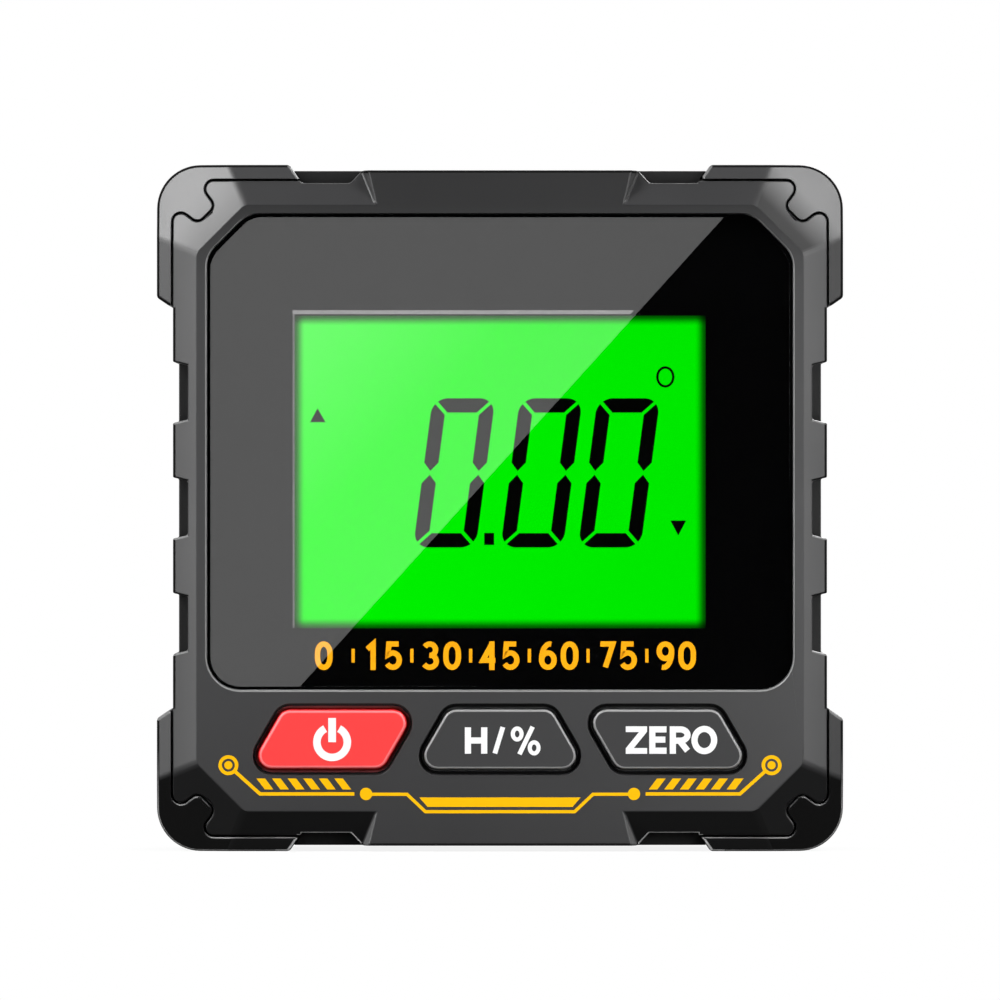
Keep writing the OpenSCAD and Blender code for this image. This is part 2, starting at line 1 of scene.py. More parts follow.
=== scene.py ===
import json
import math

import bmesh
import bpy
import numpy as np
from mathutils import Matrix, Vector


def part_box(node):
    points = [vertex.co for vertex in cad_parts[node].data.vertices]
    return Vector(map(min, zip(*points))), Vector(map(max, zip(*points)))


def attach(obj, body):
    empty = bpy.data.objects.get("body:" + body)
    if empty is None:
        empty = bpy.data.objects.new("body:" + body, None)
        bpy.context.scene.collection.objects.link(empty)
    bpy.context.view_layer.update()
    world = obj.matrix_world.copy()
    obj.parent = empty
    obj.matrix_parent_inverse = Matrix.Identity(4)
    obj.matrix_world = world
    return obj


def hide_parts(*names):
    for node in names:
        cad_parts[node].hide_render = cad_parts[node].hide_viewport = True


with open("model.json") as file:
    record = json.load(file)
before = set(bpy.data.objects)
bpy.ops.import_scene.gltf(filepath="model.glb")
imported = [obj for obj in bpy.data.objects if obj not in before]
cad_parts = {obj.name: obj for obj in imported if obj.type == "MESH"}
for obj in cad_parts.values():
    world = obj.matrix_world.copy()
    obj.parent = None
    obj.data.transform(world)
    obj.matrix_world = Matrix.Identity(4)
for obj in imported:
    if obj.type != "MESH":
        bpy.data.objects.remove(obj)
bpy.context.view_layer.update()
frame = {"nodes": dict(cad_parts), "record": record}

# %% [markdown]
# # A pocket digital angle gauge
# The gauge is a square plastic clamshell: a bevelled front shell with a big window and three
# keys, a deeper rear shell with the cells behind a hinged door, and four keyed corner guards.
# The solids give every edge and fit; this script adds the rounded edges, the prints, the lit
# display, the materials and a plain studio. Lengths below are written in millimetres and
# turned into metres in one place.

MM = 0.001
nodes = frame["nodes"]
FRONT_Y = float(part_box("front_shell")[0][1]) / MM
LCD_Y = float(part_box("lcd_panel")[0][1]) / MM
TAPE_Y = float(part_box("lens_tape")[0][1]) / MM
FLOOR_Y = float(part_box("lens_tape")[1][1]) / MM
PANE_HALF, PANE_TOP = (float(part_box("lens")[1][axis]) / MM for axis in (0, 2))
PANE_GAP = 0.3
KEY_Y = float(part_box("power_key")[0][1]) / MM
MID_Z = 30.0  # middle of the face
CASE_BOX = (28.58, 29.5, 0.0)  # half width, half height and corner radius of the case
GUARD_BOX = (30.0, 30.0, 3.8)  # the same over the guards
# The next width is that of a band of painted shade along the outline of the case and the guards
PAINTED_OUTLINE_SHADE = 0.22  # width of the dark line along the outline
NO_LIMIT = 40.0  # more than any distance on the face
WINDOW_LOW = 13.6  # level below the window's recess and above the keys
FLAT_HALF = 26.6  # half size of the flat front face
KEYS_HALF, KEYS_Z = 22.5, 9.6  # half width of the row of keys and its level
ARM_END = float(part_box("guard_top_left")[0][2]) / MM - MID_Z
print("front face at", round(FRONT_Y, 2), "display at", round(LCD_Y, 2), "keys at", round(KEY_Y, 2))

# %% [markdown]
# ## Grain, and painted shade and highlights, shared by the mouldings
# Moulded plastic is never one flat tone: the tool is spark-eroded, so the skin has a fine
# grain that scatters light, and handling leaves slow changes of gloss. Both come from noise
# in object space, so the grain keeps its size on every piece. A second group finds, from the
# place and the direction of a face, where the case and its guards get painted shade and
# painted highlights.

# %% Node groups for the moulded grain and for the painted shade and highlights


def new_group(name, inputs, outputs):
    """An empty shader node group with the given float inputs (with defaults) and float outputs."""
    tree = bpy.data.node_groups.new(name, "ShaderNodeTree")
    for label, value in inputs:
        sock = tree.interface.new_socket(label, in_out="INPUT", socket_type="NodeSocketFloat")
        sock.default_value = value
    for label in outputs:
        tree.interface.new_socket(label, in_out="OUTPUT", socket_type="NodeSocketFloat")
    return tree, tree.nodes.new("NodeGroupInput"), tree.nodes.new("NodeGroupOutput")


def moulded_grain():
    """Tone: slow noise for colour. Gloss: medium noise for roughness. Height: fine noise for the skin."""
    tree, inp, out = new_group("Moulded grain", [("Grain per metre", 9000.0)], ["Tone", "Gloss", "Height"])
    add, link = tree.nodes.new, tree.links.new
    coord = add("ShaderNodeTexCoord")
    for label, scale, detail in (("Tone", 45.0, 3.0), ("Gloss", 160.0, 2.0), ("Height", None, 1.0)):
        noise = add("ShaderNodeTexNoise")
        noise.inputs["Detail"].default_value = detail
        link(coord.outputs["Object"], noise.inputs["Vector"])
        if scale is None:
            link(inp.outputs["Grain per metre"], noise.inputs["Scale"])
        else:
            noise.inputs["Scale"].default_value = scale
        link(noise.outputs["Fac"], out.inputs[label])
    return tree


# Strengths of the painted shade, the painted highlights and the painted glint on the case and guards
UNDER_PAINTED_SHADE, TOP_PAINTED_SHADE = 0.75, 0.45
FACET_PAINTED_SHADE = ((1, 54.0, 50.0, 0.78), (-1, 52.5, 49.0, 0.2))  # side, start and end of x + z in mm, dimming
GROOVE_PAINTED_LIGHT, FLANK_PAINTED_LIGHT = 0.8, 0.16
OUTLINE_PAINTED_GLINT = 0.3
NOTCH_START, NOTCH_END, NOTCH_ARM, NOTCH_Z = 12.1, 17.75, 1.9, 2.2  # notches beside the lower tab, in mm


def painted_light_group():
    """Painted shade, painted highlights and painted glints for the case and its guards. Painted shade: on faces
    that look forward, a narrow band along the outline of a rounded box, within Reach of the middle of a side, and
    more weakly the faces that look down, the upper part of the flat face, the inner part of the upper corner
    facets and, by the amounts Right and Low corner, the bevels that look right and the lower corner facets.
    Painted highlight: the edges that look up, save those of the key wells and the top, those beside the window
    that look inward, and weakly the inner edge of the side bevels. Painted glint: the rounded edge of the notches
    beside the lower tab and, by the amount Low corner, of the lower outline. The distance to the outline is
    length(max(q, 0)) + min(max(qx, qz), 0) - radius, where q is the point's size past the straight sides."""
    names = [("Half width", 30.0), ("Half height", 30.0), ("Radius", 0.0), ("Band", 0.2), ("Reach", NO_LIMIT),
             ("Right", 0.0), ("Low corner", 0.0)]
    tree, inp, out = new_group("Painted shade and highlights", names, ["Mask", "Painted highlight", "Painted glint"])
    add, link = tree.nodes.new, tree.links.new

    def maths(kind, a, b=0.0, within=4.0):
        """The outcome of a maths node on two sockets or numbers. Within is the tolerance of COMPARE."""
        node = add("ShaderNodeMath")
        node.operation = kind
        for sock, value in zip(node.inputs, (a, b, within)):
            if isinstance(value, (int, float)):
                sock.default_value = value
            else:
                link(value, sock)
        return node.outputs[0]

    def ranged(value, start, end, top=1.0):
        """0 at start, top at end and straight between, clamped."""
        node = add("ShaderNodeMapRange")
        for label, number in (("From Min", start), ("From Max", end), ("To Max", top)):
            node.inputs[label].default_value = number
        link(value, node.inputs["Value"])
        return node.outputs["Result"]

    coord, at, look = add("ShaderNodeTexCoord"), add("ShaderNodeSeparateXYZ"), add("ShaderNodeSeparateXYZ")
    link(coord.outputs["Object"], at.inputs[0])
    link(coord.outputs["Normal"], look.inputs[0])
    past, sizes = [], []
    for axis, label, middle in (("X", "Half width", 0.0), ("Z", "Half height", MID_Z)):
        size = maths("ABSOLUTE", maths("SUBTRACT", maths("DIVIDE", at.outputs[axis], MM), middle))
        sizes.append(size)
        past.append(maths("SUBTRACT", size, maths("SUBTRACT", inp.outputs[label], inp.outputs["Radius"])))
    corner = add("ShaderNodeCombineXYZ")
    for sock, value in zip(corner.inputs, past):
        link(maths("MAXIMUM", value, 0.0), sock)
    reach = add("ShaderNodeVectorMath")
    reach.operation = "LENGTH"
    link(corner.outputs[0], reach.inputs[0])
    inside = maths("MINIMUM", maths("MAXIMUM", past[0], past[1]), 0.0)
    away = maths("SUBTRACT", maths("ADD", reach.outputs["Value"], inside), inp.outputs["Radius"])
    # Painted shade: a dark band along the outline
    band = maths("GREATER_THAN", maths("ADD", away, inp.outputs["Band"]), 0.0)
    near = maths("LESS_THAN", maths("MINIMUM", *sizes), inp.outputs["Reach"])
    front = maths("LESS_THAN", look.outputs["Y"], -0.15)
    rim = maths("MULTIPLY", band, near)
    # Painted shade on faces that look down, the top of the flat face, the corner facets and lower corners
    under = ranged(look.outputs["Z"], -0.2, -0.38, UNDER_PAINTED_SHADE)
    height = maths("DIVIDE", at.outputs["Z"], MM)
    upper = ranged(height, 50.0, 56.5, TOP_PAINTED_SHADE)
    flat = maths("MULTIPLY", upper, maths("LESS_THAN", look.outputs["Y"], -0.97))
    total = maths("ADD", *sizes)
    steep = ranged(look.outputs["Z"], 0.06, 0.3)
    fade = [flat, maths("MULTIPLY", ranged(look.outputs["X"], 0.38, 0.5), inp.outputs["Right"])]
    for sign, start, end, top in FACET_PAINTED_SHADE:
        lean = maths("MULTIPLY", steep, ranged(look.outputs["X"], 0.06 * sign, 0.3 * sign))
        fade.append(maths("MULTIPLY", lean, ranged(total, start, end, top)))
    lower = maths("MULTIPLY", ranged(look.outputs["Z"], -0.1, -0.3), inp.outputs["Low corner"])
    fade.append(maths("MULTIPLY", lower, ranged(maths("ABSOLUTE", look.outputs["X"]), 0.1, 0.3)))
    dim = maths("MAXIMUM", rim, under)
    for part in fade:
        dim = maths("MAXIMUM", dim, part)
    link(maths("MULTIPLY", dim, front), out.inputs["Mask"])
    # Painted highlights on edges that look up, window edges that look inward and the side bevels' inner edge
    above = ranged(look.outputs["Z"], 0.1, 0.3)
    low = maths("LESS_THAN", height, MID_Z + ARM_END)
    by_keys = maths("MULTIPLY", maths("LESS_THAN", sizes[0], KEYS_HALF), maths("COMPARE", height, KEYS_Z))
    clear = maths("SUBTRACT", 1.0, by_keys)
    aside = maths("MULTIPLY", look.outputs["X"], maths("SIGN", at.outputs["X"]))
    inward = ranged(aside, -0.15, -0.35, GROOVE_PAINTED_LIGHT)
    beside = maths("MULTIPLY", inward, maths("GREATER_THAN", height, WINDOW_LOW))
    upright = maths("LESS_THAN", maths("ABSOLUTE", look.outputs["Z"]), 0.2)
    inner = maths("MULTIPLY", upright, ranged(sizes[0], 28.5, 25.6, FLANK_PAINTED_LIGHT))
    flank = maths("MULTIPLY", ranged(aside, 0.25, 0.4), inner)
    facing = maths("MAXIMUM", maths("MULTIPLY", above, low), maths("MAXIMUM", beside, flank))
    link(maths("MULTIPLY", facing, maths("MULTIPLY", front, clear)), out.inputs["Painted highlight"])
    # Painted glint on the guards' lower outline and on the edges of the notches beside the lower tab
    outline = maths("MULTIPLY", maths("GREATER_THAN", away, -0.3), ranged(height, 9.0, 4.0, OUTLINE_PAINTED_GLINT))
    end = maths("ADD", maths("MULTIPLY", inp.outputs["Low corner"], NOTCH_ARM), NOTCH_END)
    notch = maths("MULTIPLY", maths("GREATER_THAN", sizes[0], NOTCH_START), maths("LESS_THAN", sizes[0], end))
    notch = maths("MULTIPLY", notch, maths("LESS_THAN", height, NOTCH_Z))
    spots = maths("MAXIMUM", maths("MULTIPLY", outline, inp.outputs["Low corner"]), notch)
    inner_half = maths("LESS_THAN", look.outputs["Y"], -0.5)
    turned = maths("MULTIPLY", ranged(look.outputs["Y"], -0.83, -0.77), inner_half)
    link(maths("MULTIPLY", turned, spots), out.inputs["Painted glint"])
    return tree


GRAIN, PAINTED_LIGHT_GROUP = moulded_grain(), painted_light_group()
print("node groups:", [(g.name, [s.name for s in g.interface.items_tree]) for g in (GRAIN, PAINTED_LIGHT_GROUP)])

# %% [markdown]
# ## Materials
# One recipe covers the opaque pieces: two close tones mixed by the slow noise, a roughness
# that wanders a little, and a shallow bump. The numbers that stay the same over a piece are
# set straight on the shader.

# %% Opaque material recipe


def opaque(name, rgb, rough=0.45, spec=0.35, metal=0.0, vary=0.08, bump=0.06, well_shade_depth=None, rim=None, flank=None):
    """Principled surface whose tone, roughness and skin follow the moulded grain group. Past a given depth it is
    painted black, as shade deep in a key's well; flank is a painted shade colour where the face looks sideways,
    and rim gives the seven inputs of the group of painted shade and highlights."""
    mat = bpy.data.materials.new(name)
    mat.use_nodes = True
    tree = mat.node_tree
    add, link = tree.nodes.new, tree.links.new
    bsdf = tree.nodes["Principled BSDF"]
    group = add("ShaderNodeGroup")
    group.node_tree = GRAIN
    mix = add("ShaderNodeMix")
    mix.data_type = "RGBA"
    mix.inputs["A"].default_value = (*[c * (1 - vary) for c in rgb], 1)
    mix.inputs["B"].default_value = (*[min(1.0, c * (1 + vary)) for c in rgb], 1)
    link(group.outputs["Tone"], mix.inputs["Factor"])
    tone = mix.outputs["Result"]
    kinds = ("TexCoord", "SeparateXYZ", "MapRange", "Mix")
    # Painted shade: past the given depth the tone turns black, as the shade deep in a key's well
    if well_shade_depth is not None:
        coord, split, deep, dim = (add("ShaderNode" + k) for k in kinds)
        link(coord.outputs["Object"], split.inputs[0])
        deep.inputs["From Min"].default_value = well_shade_depth * MM
        deep.inputs["From Max"].default_value = (well_shade_depth + 0.3) * MM
        link(split.outputs["Y"], deep.inputs["Value"])
        dim.data_type = "RGBA"
        dim.inputs["B"].default_value = (0.001, 0.001, 0.001, 1)
        link(deep.outputs["Result"], dim.inputs["Factor"])
        link(tone, dim.inputs["A"])
        tone = dim.outputs["Result"]
    # Painted shade: a darker colour where the face looks sideways
    if flank is not None:
        coord, split, turned, deep = (add("ShaderNode" + k) for k in kinds)
        link(coord.outputs["Normal"], split.inputs[0])
        turned.inputs["From Min"].default_value, turned.inputs["From Max"].default_value = -0.85, -0.65
        link(split.outputs["Y"], turned.inputs["Value"])
        deep.data_type = "RGBA"
        deep.inputs["B"].default_value = (*flank, 1)
        link(turned.outputs["Result"], deep.inputs["Factor"])
        link(tone, deep.inputs["A"])
        tone = deep.outputs["Result"]
    # Painted shade, painted highlights and painted glint from the group, mixed into the tone
    if rim is not None:
        line = add("ShaderNodeGroup")
        line.node_tree = PAINTED_LIGHT_GROUP
        for sock, value in zip(line.inputs, rim):
            sock.default_value = value
        for label, grey in (("Mask", 0.01), ("Painted highlight", 0.2), ("Painted glint", 0.9)):
            shade = add("ShaderNodeMix")
            shade.data_type = "RGBA"
            shade.inputs["B"].default_value = (grey, grey, grey, 1)
            link(line.outputs[label], shade.inputs["Factor"])
            link(tone, shade.inputs["A"])
            tone = shade.outputs["Result"]
        gloss = add("ShaderNodeMapRange")
        gloss.inputs["To Min"].default_value, gloss.inputs["To Max"].default_value = spec, 0.0
        link(line.outputs["Mask"], gloss.inputs["Value"])
        link(gloss.outputs["Result"], bsdf.inputs["Specular IOR Level"])
    link(tone, bsdf.inputs["Base Color"])
    span = add("ShaderNodeMapRange")
    span.inputs["To Min"].default_value = max(0.02, rough - 0.05)
    span.inputs["To Max"].default_value = min(1.0, rough + 0.05)
    link(group.outputs["Gloss"], span.inputs["Value"])
    link(span.outputs["Result"], bsdf.inputs["Roughness"])
    if bump:
        skin = add("ShaderNodeBump")
        skin.inputs["Strength"].default_value = bump
        skin.inputs["Distance"].default_value = 0.00002
        link(group.outputs["Height"], skin.inputs["Height"])
        link(skin.outputs["Normal"], bsdf.inputs["Normal"])
    bsdf.inputs["Metallic"].default_value = metal
    bsdf.inputs["Specular IOR Level"].default_value = spec
    return mat


# The case and the guards take painted shade, painted highlights and painted glints from the group
CASE_PAINTED_LIGHT = (*CASE_BOX, PAINTED_OUTLINE_SHADE, ARM_END, 0.0, 0.0)
GUARD_PAINTED_LIGHT = (*GUARD_BOX, PAINTED_OUTLINE_SHADE, NO_LIMIT, 0.38, 1.0)
MAT = {
    "case": opaque("case_plastic", (0.026, 0.026, 0.027), 0.37, 0.57, rim=CASE_PAINTED_LIGHT),
    # Black plastic made darker than the case's, partly as painted shade where the rear shell shows in recesses
    "rear_case": opaque("rear_plastic_with_painted_shade", (0.009, 0.009, 0.0092), 0.45, 0.3),
    "guard": opaque("guard_plastic", (0.033, 0.033, 0.034), 0.37, 0.57, rim=GUARD_PAINTED_LIGHT),
    "window_border": opaque("border_film", (0.0012, 0.0012, 0.0013), 0.9, 0.0, bump=0.0),
    "light_guide": opaque("guide_plastic", (0.75, 0.8, 0.75), 0.2, 0.5, bump=0.0),
    "led": opaque("led_resin", (0.8, 0.78, 0.55), 0.3, 0.5, bump=0.0),
    "contact_rubber": opaque("contact_rubber", (0.45, 0.2, 0.2), 0.7, 0.3),
    "board": opaque("board_mask", (0.015, 0.14, 0.05), 0.35, 0.5),
    "chip": opaque("chip_package", (0.015, 0.015, 0.016), 0.6, 0.3),
    "switch_body": opaque("switch_cover", (0.6, 0.6, 0.6), 0.35, 0.5, 1.0),
    "plunger": opaque("plunger_plastic", (0.02, 0.02, 0.02), 0.5, 0.3),
    "red_key": opaque("red_key_plastic", (0.9, 0.046, 0.046), 0.36, 0.4, vary=0.03, well_shade_depth=KEY_Y + 0.9),
    "grey_key": opaque("grey_key_plastic", (0.043, 0.043, 0.044), 0.5, 0.2, well_shade_depth=KEY_Y + 0.9),
    "cell": opaque("cell_wrap", (0.05, 0.05, 0.06), 0.3, 0.5, 0.2, bump=0.0),
    "contact_steel": opaque("plated_spring_steel", (0.72, 0.7, 0.66), 0.28, 0.5, 1.0),
    "magnet": opaque("plated_magnet", (0.62, 0.62, 0.64), 0.22, 0.5, 1.0),
    "screw_steel": opaque("blackened_screw", (0.16, 0.16, 0.17), 0.38, 0.5, 1.0),
}
INK_AND_PAINTED_RIM = {
    "yellow": opaque("yellow_print", (0.94, 0.49, 0.001), 0.5, 0.1, vary=0.02, bump=0.0),
    "white": opaque("white_print", (0.89, 0.89, 0.89), 0.5, 0.1, vary=0.02, bump=0.0),
    "orange": opaque("orange_print", (0.98, 0.42, 0.003), 0.5, 0.1, vary=0.02, bump=0.0),
    # Painted reflection of the window's edge, paler along the top than along the left
    "rim": opaque("window_rim_painted_reflection", (0.24, 0.235, 0.24), 0.4, 0.1, vary=0.05, bump=0.0),
    "rim_side": opaque("window_rim_side_painted_reflection", (0.12, 0.12, 0.12), 0.4, 0.1, vary=0.05, bump=0.0),
    "segment": opaque("display_segment", (0.0008, 0.0009, 0.0008), 0.9, 0.0, bump=0.0),
}
# Painted highlights on the rounded edges of the keys, the red one with painted shade where it looks sideways
EDGE = {
    "red_key": opaque("red_key_painted_highlight", (0.98, 0.19, 0.2), 0.3, 0.4, vary=0.03, flank=(0.85, 0.012, 0.014)),
    "grey_key": opaque("grey_key_painted_highlight", (0.26, 0.26, 0.26), 0.25, 0.5),
}
print(len(MAT), "materials,", len(INK_AND_PAINTED_RIM), "inks and", len(EDGE), "painted key edge highlights")

# %% [markdown]
# ## Window and display
# The window is clear and lets shadow rays pass, so that the prints behind it are lit. Its
# index of refraction is set high, so that a dim card is enough for its sheen. The display
# glows, a little more to the left, with painted shade toward the edges of its window and a
# painted sheen that makes its upper left paler.

# %% Clear and glowing materials


def clear_window():
    """Clear polished plastic. Shadow rays meet a transparent surface, so light reaches the prints behind."""
    mat = bpy.data.materials.new("clear_window")
    mat.use_nodes = True
    tree = mat.node_tree
    add, link = tree.nodes.new, tree.links.new
    bsdf = tree.nodes["Principled BSDF"]
    group = add("ShaderNodeGroup")
    group.node_tree = GRAIN
    span = add("ShaderNodeMapRange")
    span.inputs["To Min"].default_value = 0.0
    span.inputs["To Max"].default_value = 0.003
    link(group.outputs["Gloss"], span.inputs["Value"])
    link(span.outputs["Result"], bsdf.inputs["Roughness"])
    bsdf.inputs["Transmission Weight"].default_value = 1.0
    bsdf.inputs["IOR"].default_value = 1.75
    path, clear, mix = (add("ShaderNode" + k) for k in ("LightPath", "BsdfTransparent", "MixShader"))
    link(path.outputs["Is Shadow Ray"], mix.inputs[0])
    link(bsdf.outputs[0], mix.inputs[1])
    link(clear.outputs[0], mix.inputs[2])
    link(mix.outputs[0], tree.nodes["Material Output"].inputs["Surface"])
    return mat


VIEW = dict(x=0.0, z=33.15, w=35.9, h=27.3)
# The paler green is a painted sheen over the upper left of the display
GREEN, SHEEN_PAINTED_GREEN = (0.0, 1.16, 0.0, 1), (0.1, 1.18, 0.1, 1)


def lit_display():
    """Green back light. Painted shade: its strength rises from each edge of the view by a smooth step. Painted
    sheen: it turns paler toward the upper left.
    """
    mat = bpy.data.materials.new("lit_display")
    mat.use_nodes = True
    tree = mat.node_tree
    add, link = tree.nodes.new, tree.links.new
    bsdf = tree.nodes["Principled BSDF"]
    coord, split = add("ShaderNodeTexCoord"), add("ShaderNodeSeparateXYZ")
    link(coord.outputs["Object"], split.inputs[0])
    product = None
    # Painted shade: the glow dims toward each edge of the view, where the window's edges shade it
    for axis, middle, span in (("X", VIEW["x"], VIEW["w"]), ("Z", VIEW["z"], VIEW["h"])):
        for sign in (-1.0, 1.0):
            edge = add("ShaderNodeMapRange")
            edge.interpolation_type = "SMOOTHSTEP"
            rim = (middle + sign * span / 2) * MM
            start, end = rim - sign * 0.05 * MM, rim - sign * 0.95 * MM
            for label, value in (("From Min", start), ("From Max", end), ("To Min", 0.12), ("To Max", 1.0)):
                edge.inputs[label].default_value = value
            link(split.outputs[axis], edge.inputs["Value"])
            if product is None:
                product = edge.outputs["Result"]
            else:
                times = add("ShaderNodeMath")
                times.operation = "MULTIPLY"
                link(product, times.inputs[0])
                link(edge.outputs["Result"], times.inputs[1])
                product = times.outputs[0]
    ramp = add("ShaderNodeMix")
    ramp.data_type = "RGBA"
    ramp.inputs["A"].default_value = (0.0, 0.0, 0.0, 1)
    # Painted sheen: the glow turns paler toward the upper left
    pale, slant, far = add("ShaderNodeMix"), add("ShaderNodeMath"), add("ShaderNodeMapRange")
    slant.operation = "SUBTRACT"
    link(split.outputs["Z"], slant.inputs[0])
    link(split.outputs["X"], slant.inputs[1])
    far.inputs["From Min"].default_value, far.inputs["From Max"].default_value = 0.045, 0.064
    link(slant.outputs[0], far.inputs["Value"])
    pale.data_type = "RGBA"
    pale.inputs["A"].default_value, pale.inputs["B"].default_value = GREEN, SHEEN_PAINTED_GREEN
    link(far.outputs["Result"], pale.inputs["Factor"])
    link(pale.outputs["Result"], ramp.inputs["B"])
    link(product, ramp.inputs["Factor"])
    link(ramp.outputs["Result"], bsdf.inputs["Emission Color"])
    across = add("ShaderNodeMapRange")
    for label, value in (("From Min", 0.0165), ("From Max", -0.0165), ("To Min", 1.0), ("To Max", 1.1)):
        across.inputs[label].default_value = value
    link(split.outputs["X"], across.inputs["Value"])
    link(across.outputs["Result"], bsdf.inputs["Emission Strength"])
    bsdf.inputs["Base Color"].default_value = (0.0, 0.01, 0.0, 1)
    bsdf.inputs["Roughness"].default_value = 0.5
    bsdf.inputs["Specular IOR Level"].default_value = 0.0
    return mat


MAT["window"] = clear_window()
MAT["display"] = lit_display()
slot_of = {s["node"]: s["material_slot"] for s in frame["record"]["subparts"]}
for name, obj in nodes.items():
    obj.data.materials.clear()
    obj.data.materials.append(MAT[slot_of[name]])
print("painted", len(nodes), "solids")

# %% [markdown]
# ## Rounded edges of the mouldings
# A mould can't hold a razor edge: every visible edge has a radius of about a tenth of a
# millimetre, and it is this line that catches the light round the window, the keys and the
# joint lines; on the keys it also carries a painted highlight. The solids come as loose
# triangles, so a copy is welded, its flat fields are merged, and each edge gets a bevel weight
# from the angle it turns and its place: crisp edges a narrow one, the shallow ridges between
# the corner bevels a wide, soft one.

# %% Welded copies with weighted bevels
body_of_node = {n: b for b, members in frame["record"]["behaviour"]["bodies"].items() for n in members}


def welded(node):
    """The triangles of a CAD node with equal corners merged, in the row frame."""
    obj = nodes[node]
    mesh = obj.data
    co = np.empty(len(mesh.vertices) * 3)
    mesh.vertices.foreach_get("co", co)
    mat = np.array(obj.matrix_world)
    co = co.reshape(-1, 3) @ mat[:3, :3].T + mat[:3, 3]
    mesh.calc_loop_triangles()
    tri = np.empty(len(mesh.loop_triangles) * 3, dtype=np.int32)
    mesh.loop_triangles.foreach_get("vertices", tri)
    grid = np.round(co * 2e6).astype(np.int64)
    _, first, inverse = np.unique(grid, axis=0, return_index=True, return_inverse=True)
    tri = inverse.reshape(-1)[tri.reshape(-1, 3)]
    keep = (tri[:, 0] != tri[:, 1]) & (tri[:, 1] != tri[:, 2]) & (tri[:, 2] != tri[:, 0])
    return co[first], tri[keep]


TIGHT_RECESS, TIGHT_PANE, CORNER = 0.76, 0.79, 6.2


def tightened(co, half, top, tight):
    """Points of the window's outline near its two upper corner points, drawn toward them: the new offset is tight
    times the old one, for offsets up to CORNER. Half is half the outline's width and top its level, in mm."""
    u, v = half - np.abs(co[:, 0]) / MM, top - co[:, 2] / MM
    pick = (np.minimum(u, v) > -0.02) & (np.maximum(u, v) < CORNER) & (co[:, 1] / MM < FLOOR_Y + 0.05)
    out = co.copy()
    out[pick, 0] = np.sign(co[pick, 0]) * (half - tight * u[pick]) * MM
    out[pick, 2] = (top - tight * v[pick]) * MM
    return out


def edge_turns(mesh):
    """Angle in degrees between the two faces of each edge, 0 where an edge doesn't have two, and the normal of the
    one that looks less to the front."""
    normals = np.empty(len(mesh.polygons) * 3)
    mesh.polygons.foreach_get("normal", normals)
    normals = normals.reshape(-1, 3)
    count = np.empty(len(mesh.polygons), dtype=np.int32)
    mesh.polygons.foreach_get("loop_total", count)
    edge = np.empty(len(mesh.loops), dtype=np.int32)
    mesh.loops.foreach_get("edge_index", edge)
    face = np.repeat(np.arange(len(count)), count)
    order = np.argsort(edge, kind="stable")
    edge, face = edge[order], face[order]
    pair = np.flatnonzero(edge[:-1] == edge[1:])
    cosine = np.clip((normals[face[pair]] * normals[face[pair + 1]]).sum(1), -1, 1)
    turn = np.zeros(len(mesh.edges))
    turn[edge[pair]] = np.degrees(np.arccos(cosine))
    a, b = normals[face[pair]], normals[face[pair + 1]]
    wall = np.zeros((len(mesh.edges), 3))
    wall[edge[pair]] = np.where((np.abs(a[:, 1]) < np.abs(b[:, 1]))[:, None], a, b)
    return turn, wall


def edge_spans(mesh):
    """Length and middle of each edge in mm."""
    ends = np.empty(len(mesh.edges) * 2, dtype=np.int32)
    mesh.edges.foreach_get("vertices", ends)
    co = np.empty(len(mesh.vertices) * 3)
    mesh.vertices.foreach_get("co", co)
    pair = co.reshape(-1, 3)[ends.reshape(-1, 2)]
    return np.linalg.norm(pair[:, 1] - pair[:, 0], axis=1) / MM, pair.mean(1) / MM


def from_outline(middle, box):
    """Distance in mm of each point to a rounded box (half width, half height, radius) round the axis of the
    gauge, negative inside: length(max(q, 0)) + min(max(qx, qz), 0) - radius, where q is the point past the
    straight sides."""
    half_w, half_h, radius = box
    q = np.stack([np.abs(middle[:, 0]) - half_w + radius, np.abs(middle[:, 2] - MID_Z) - half_h + radius], 1)
    return np.linalg.norm(np.maximum(q, 0), axis=1) + np.minimum(q.max(1), 0) - radius


CRISP, SHARP, RIDGE = 40, 27, 19  # turns in degrees that part crisp edges, sharp edges and shallow ridges


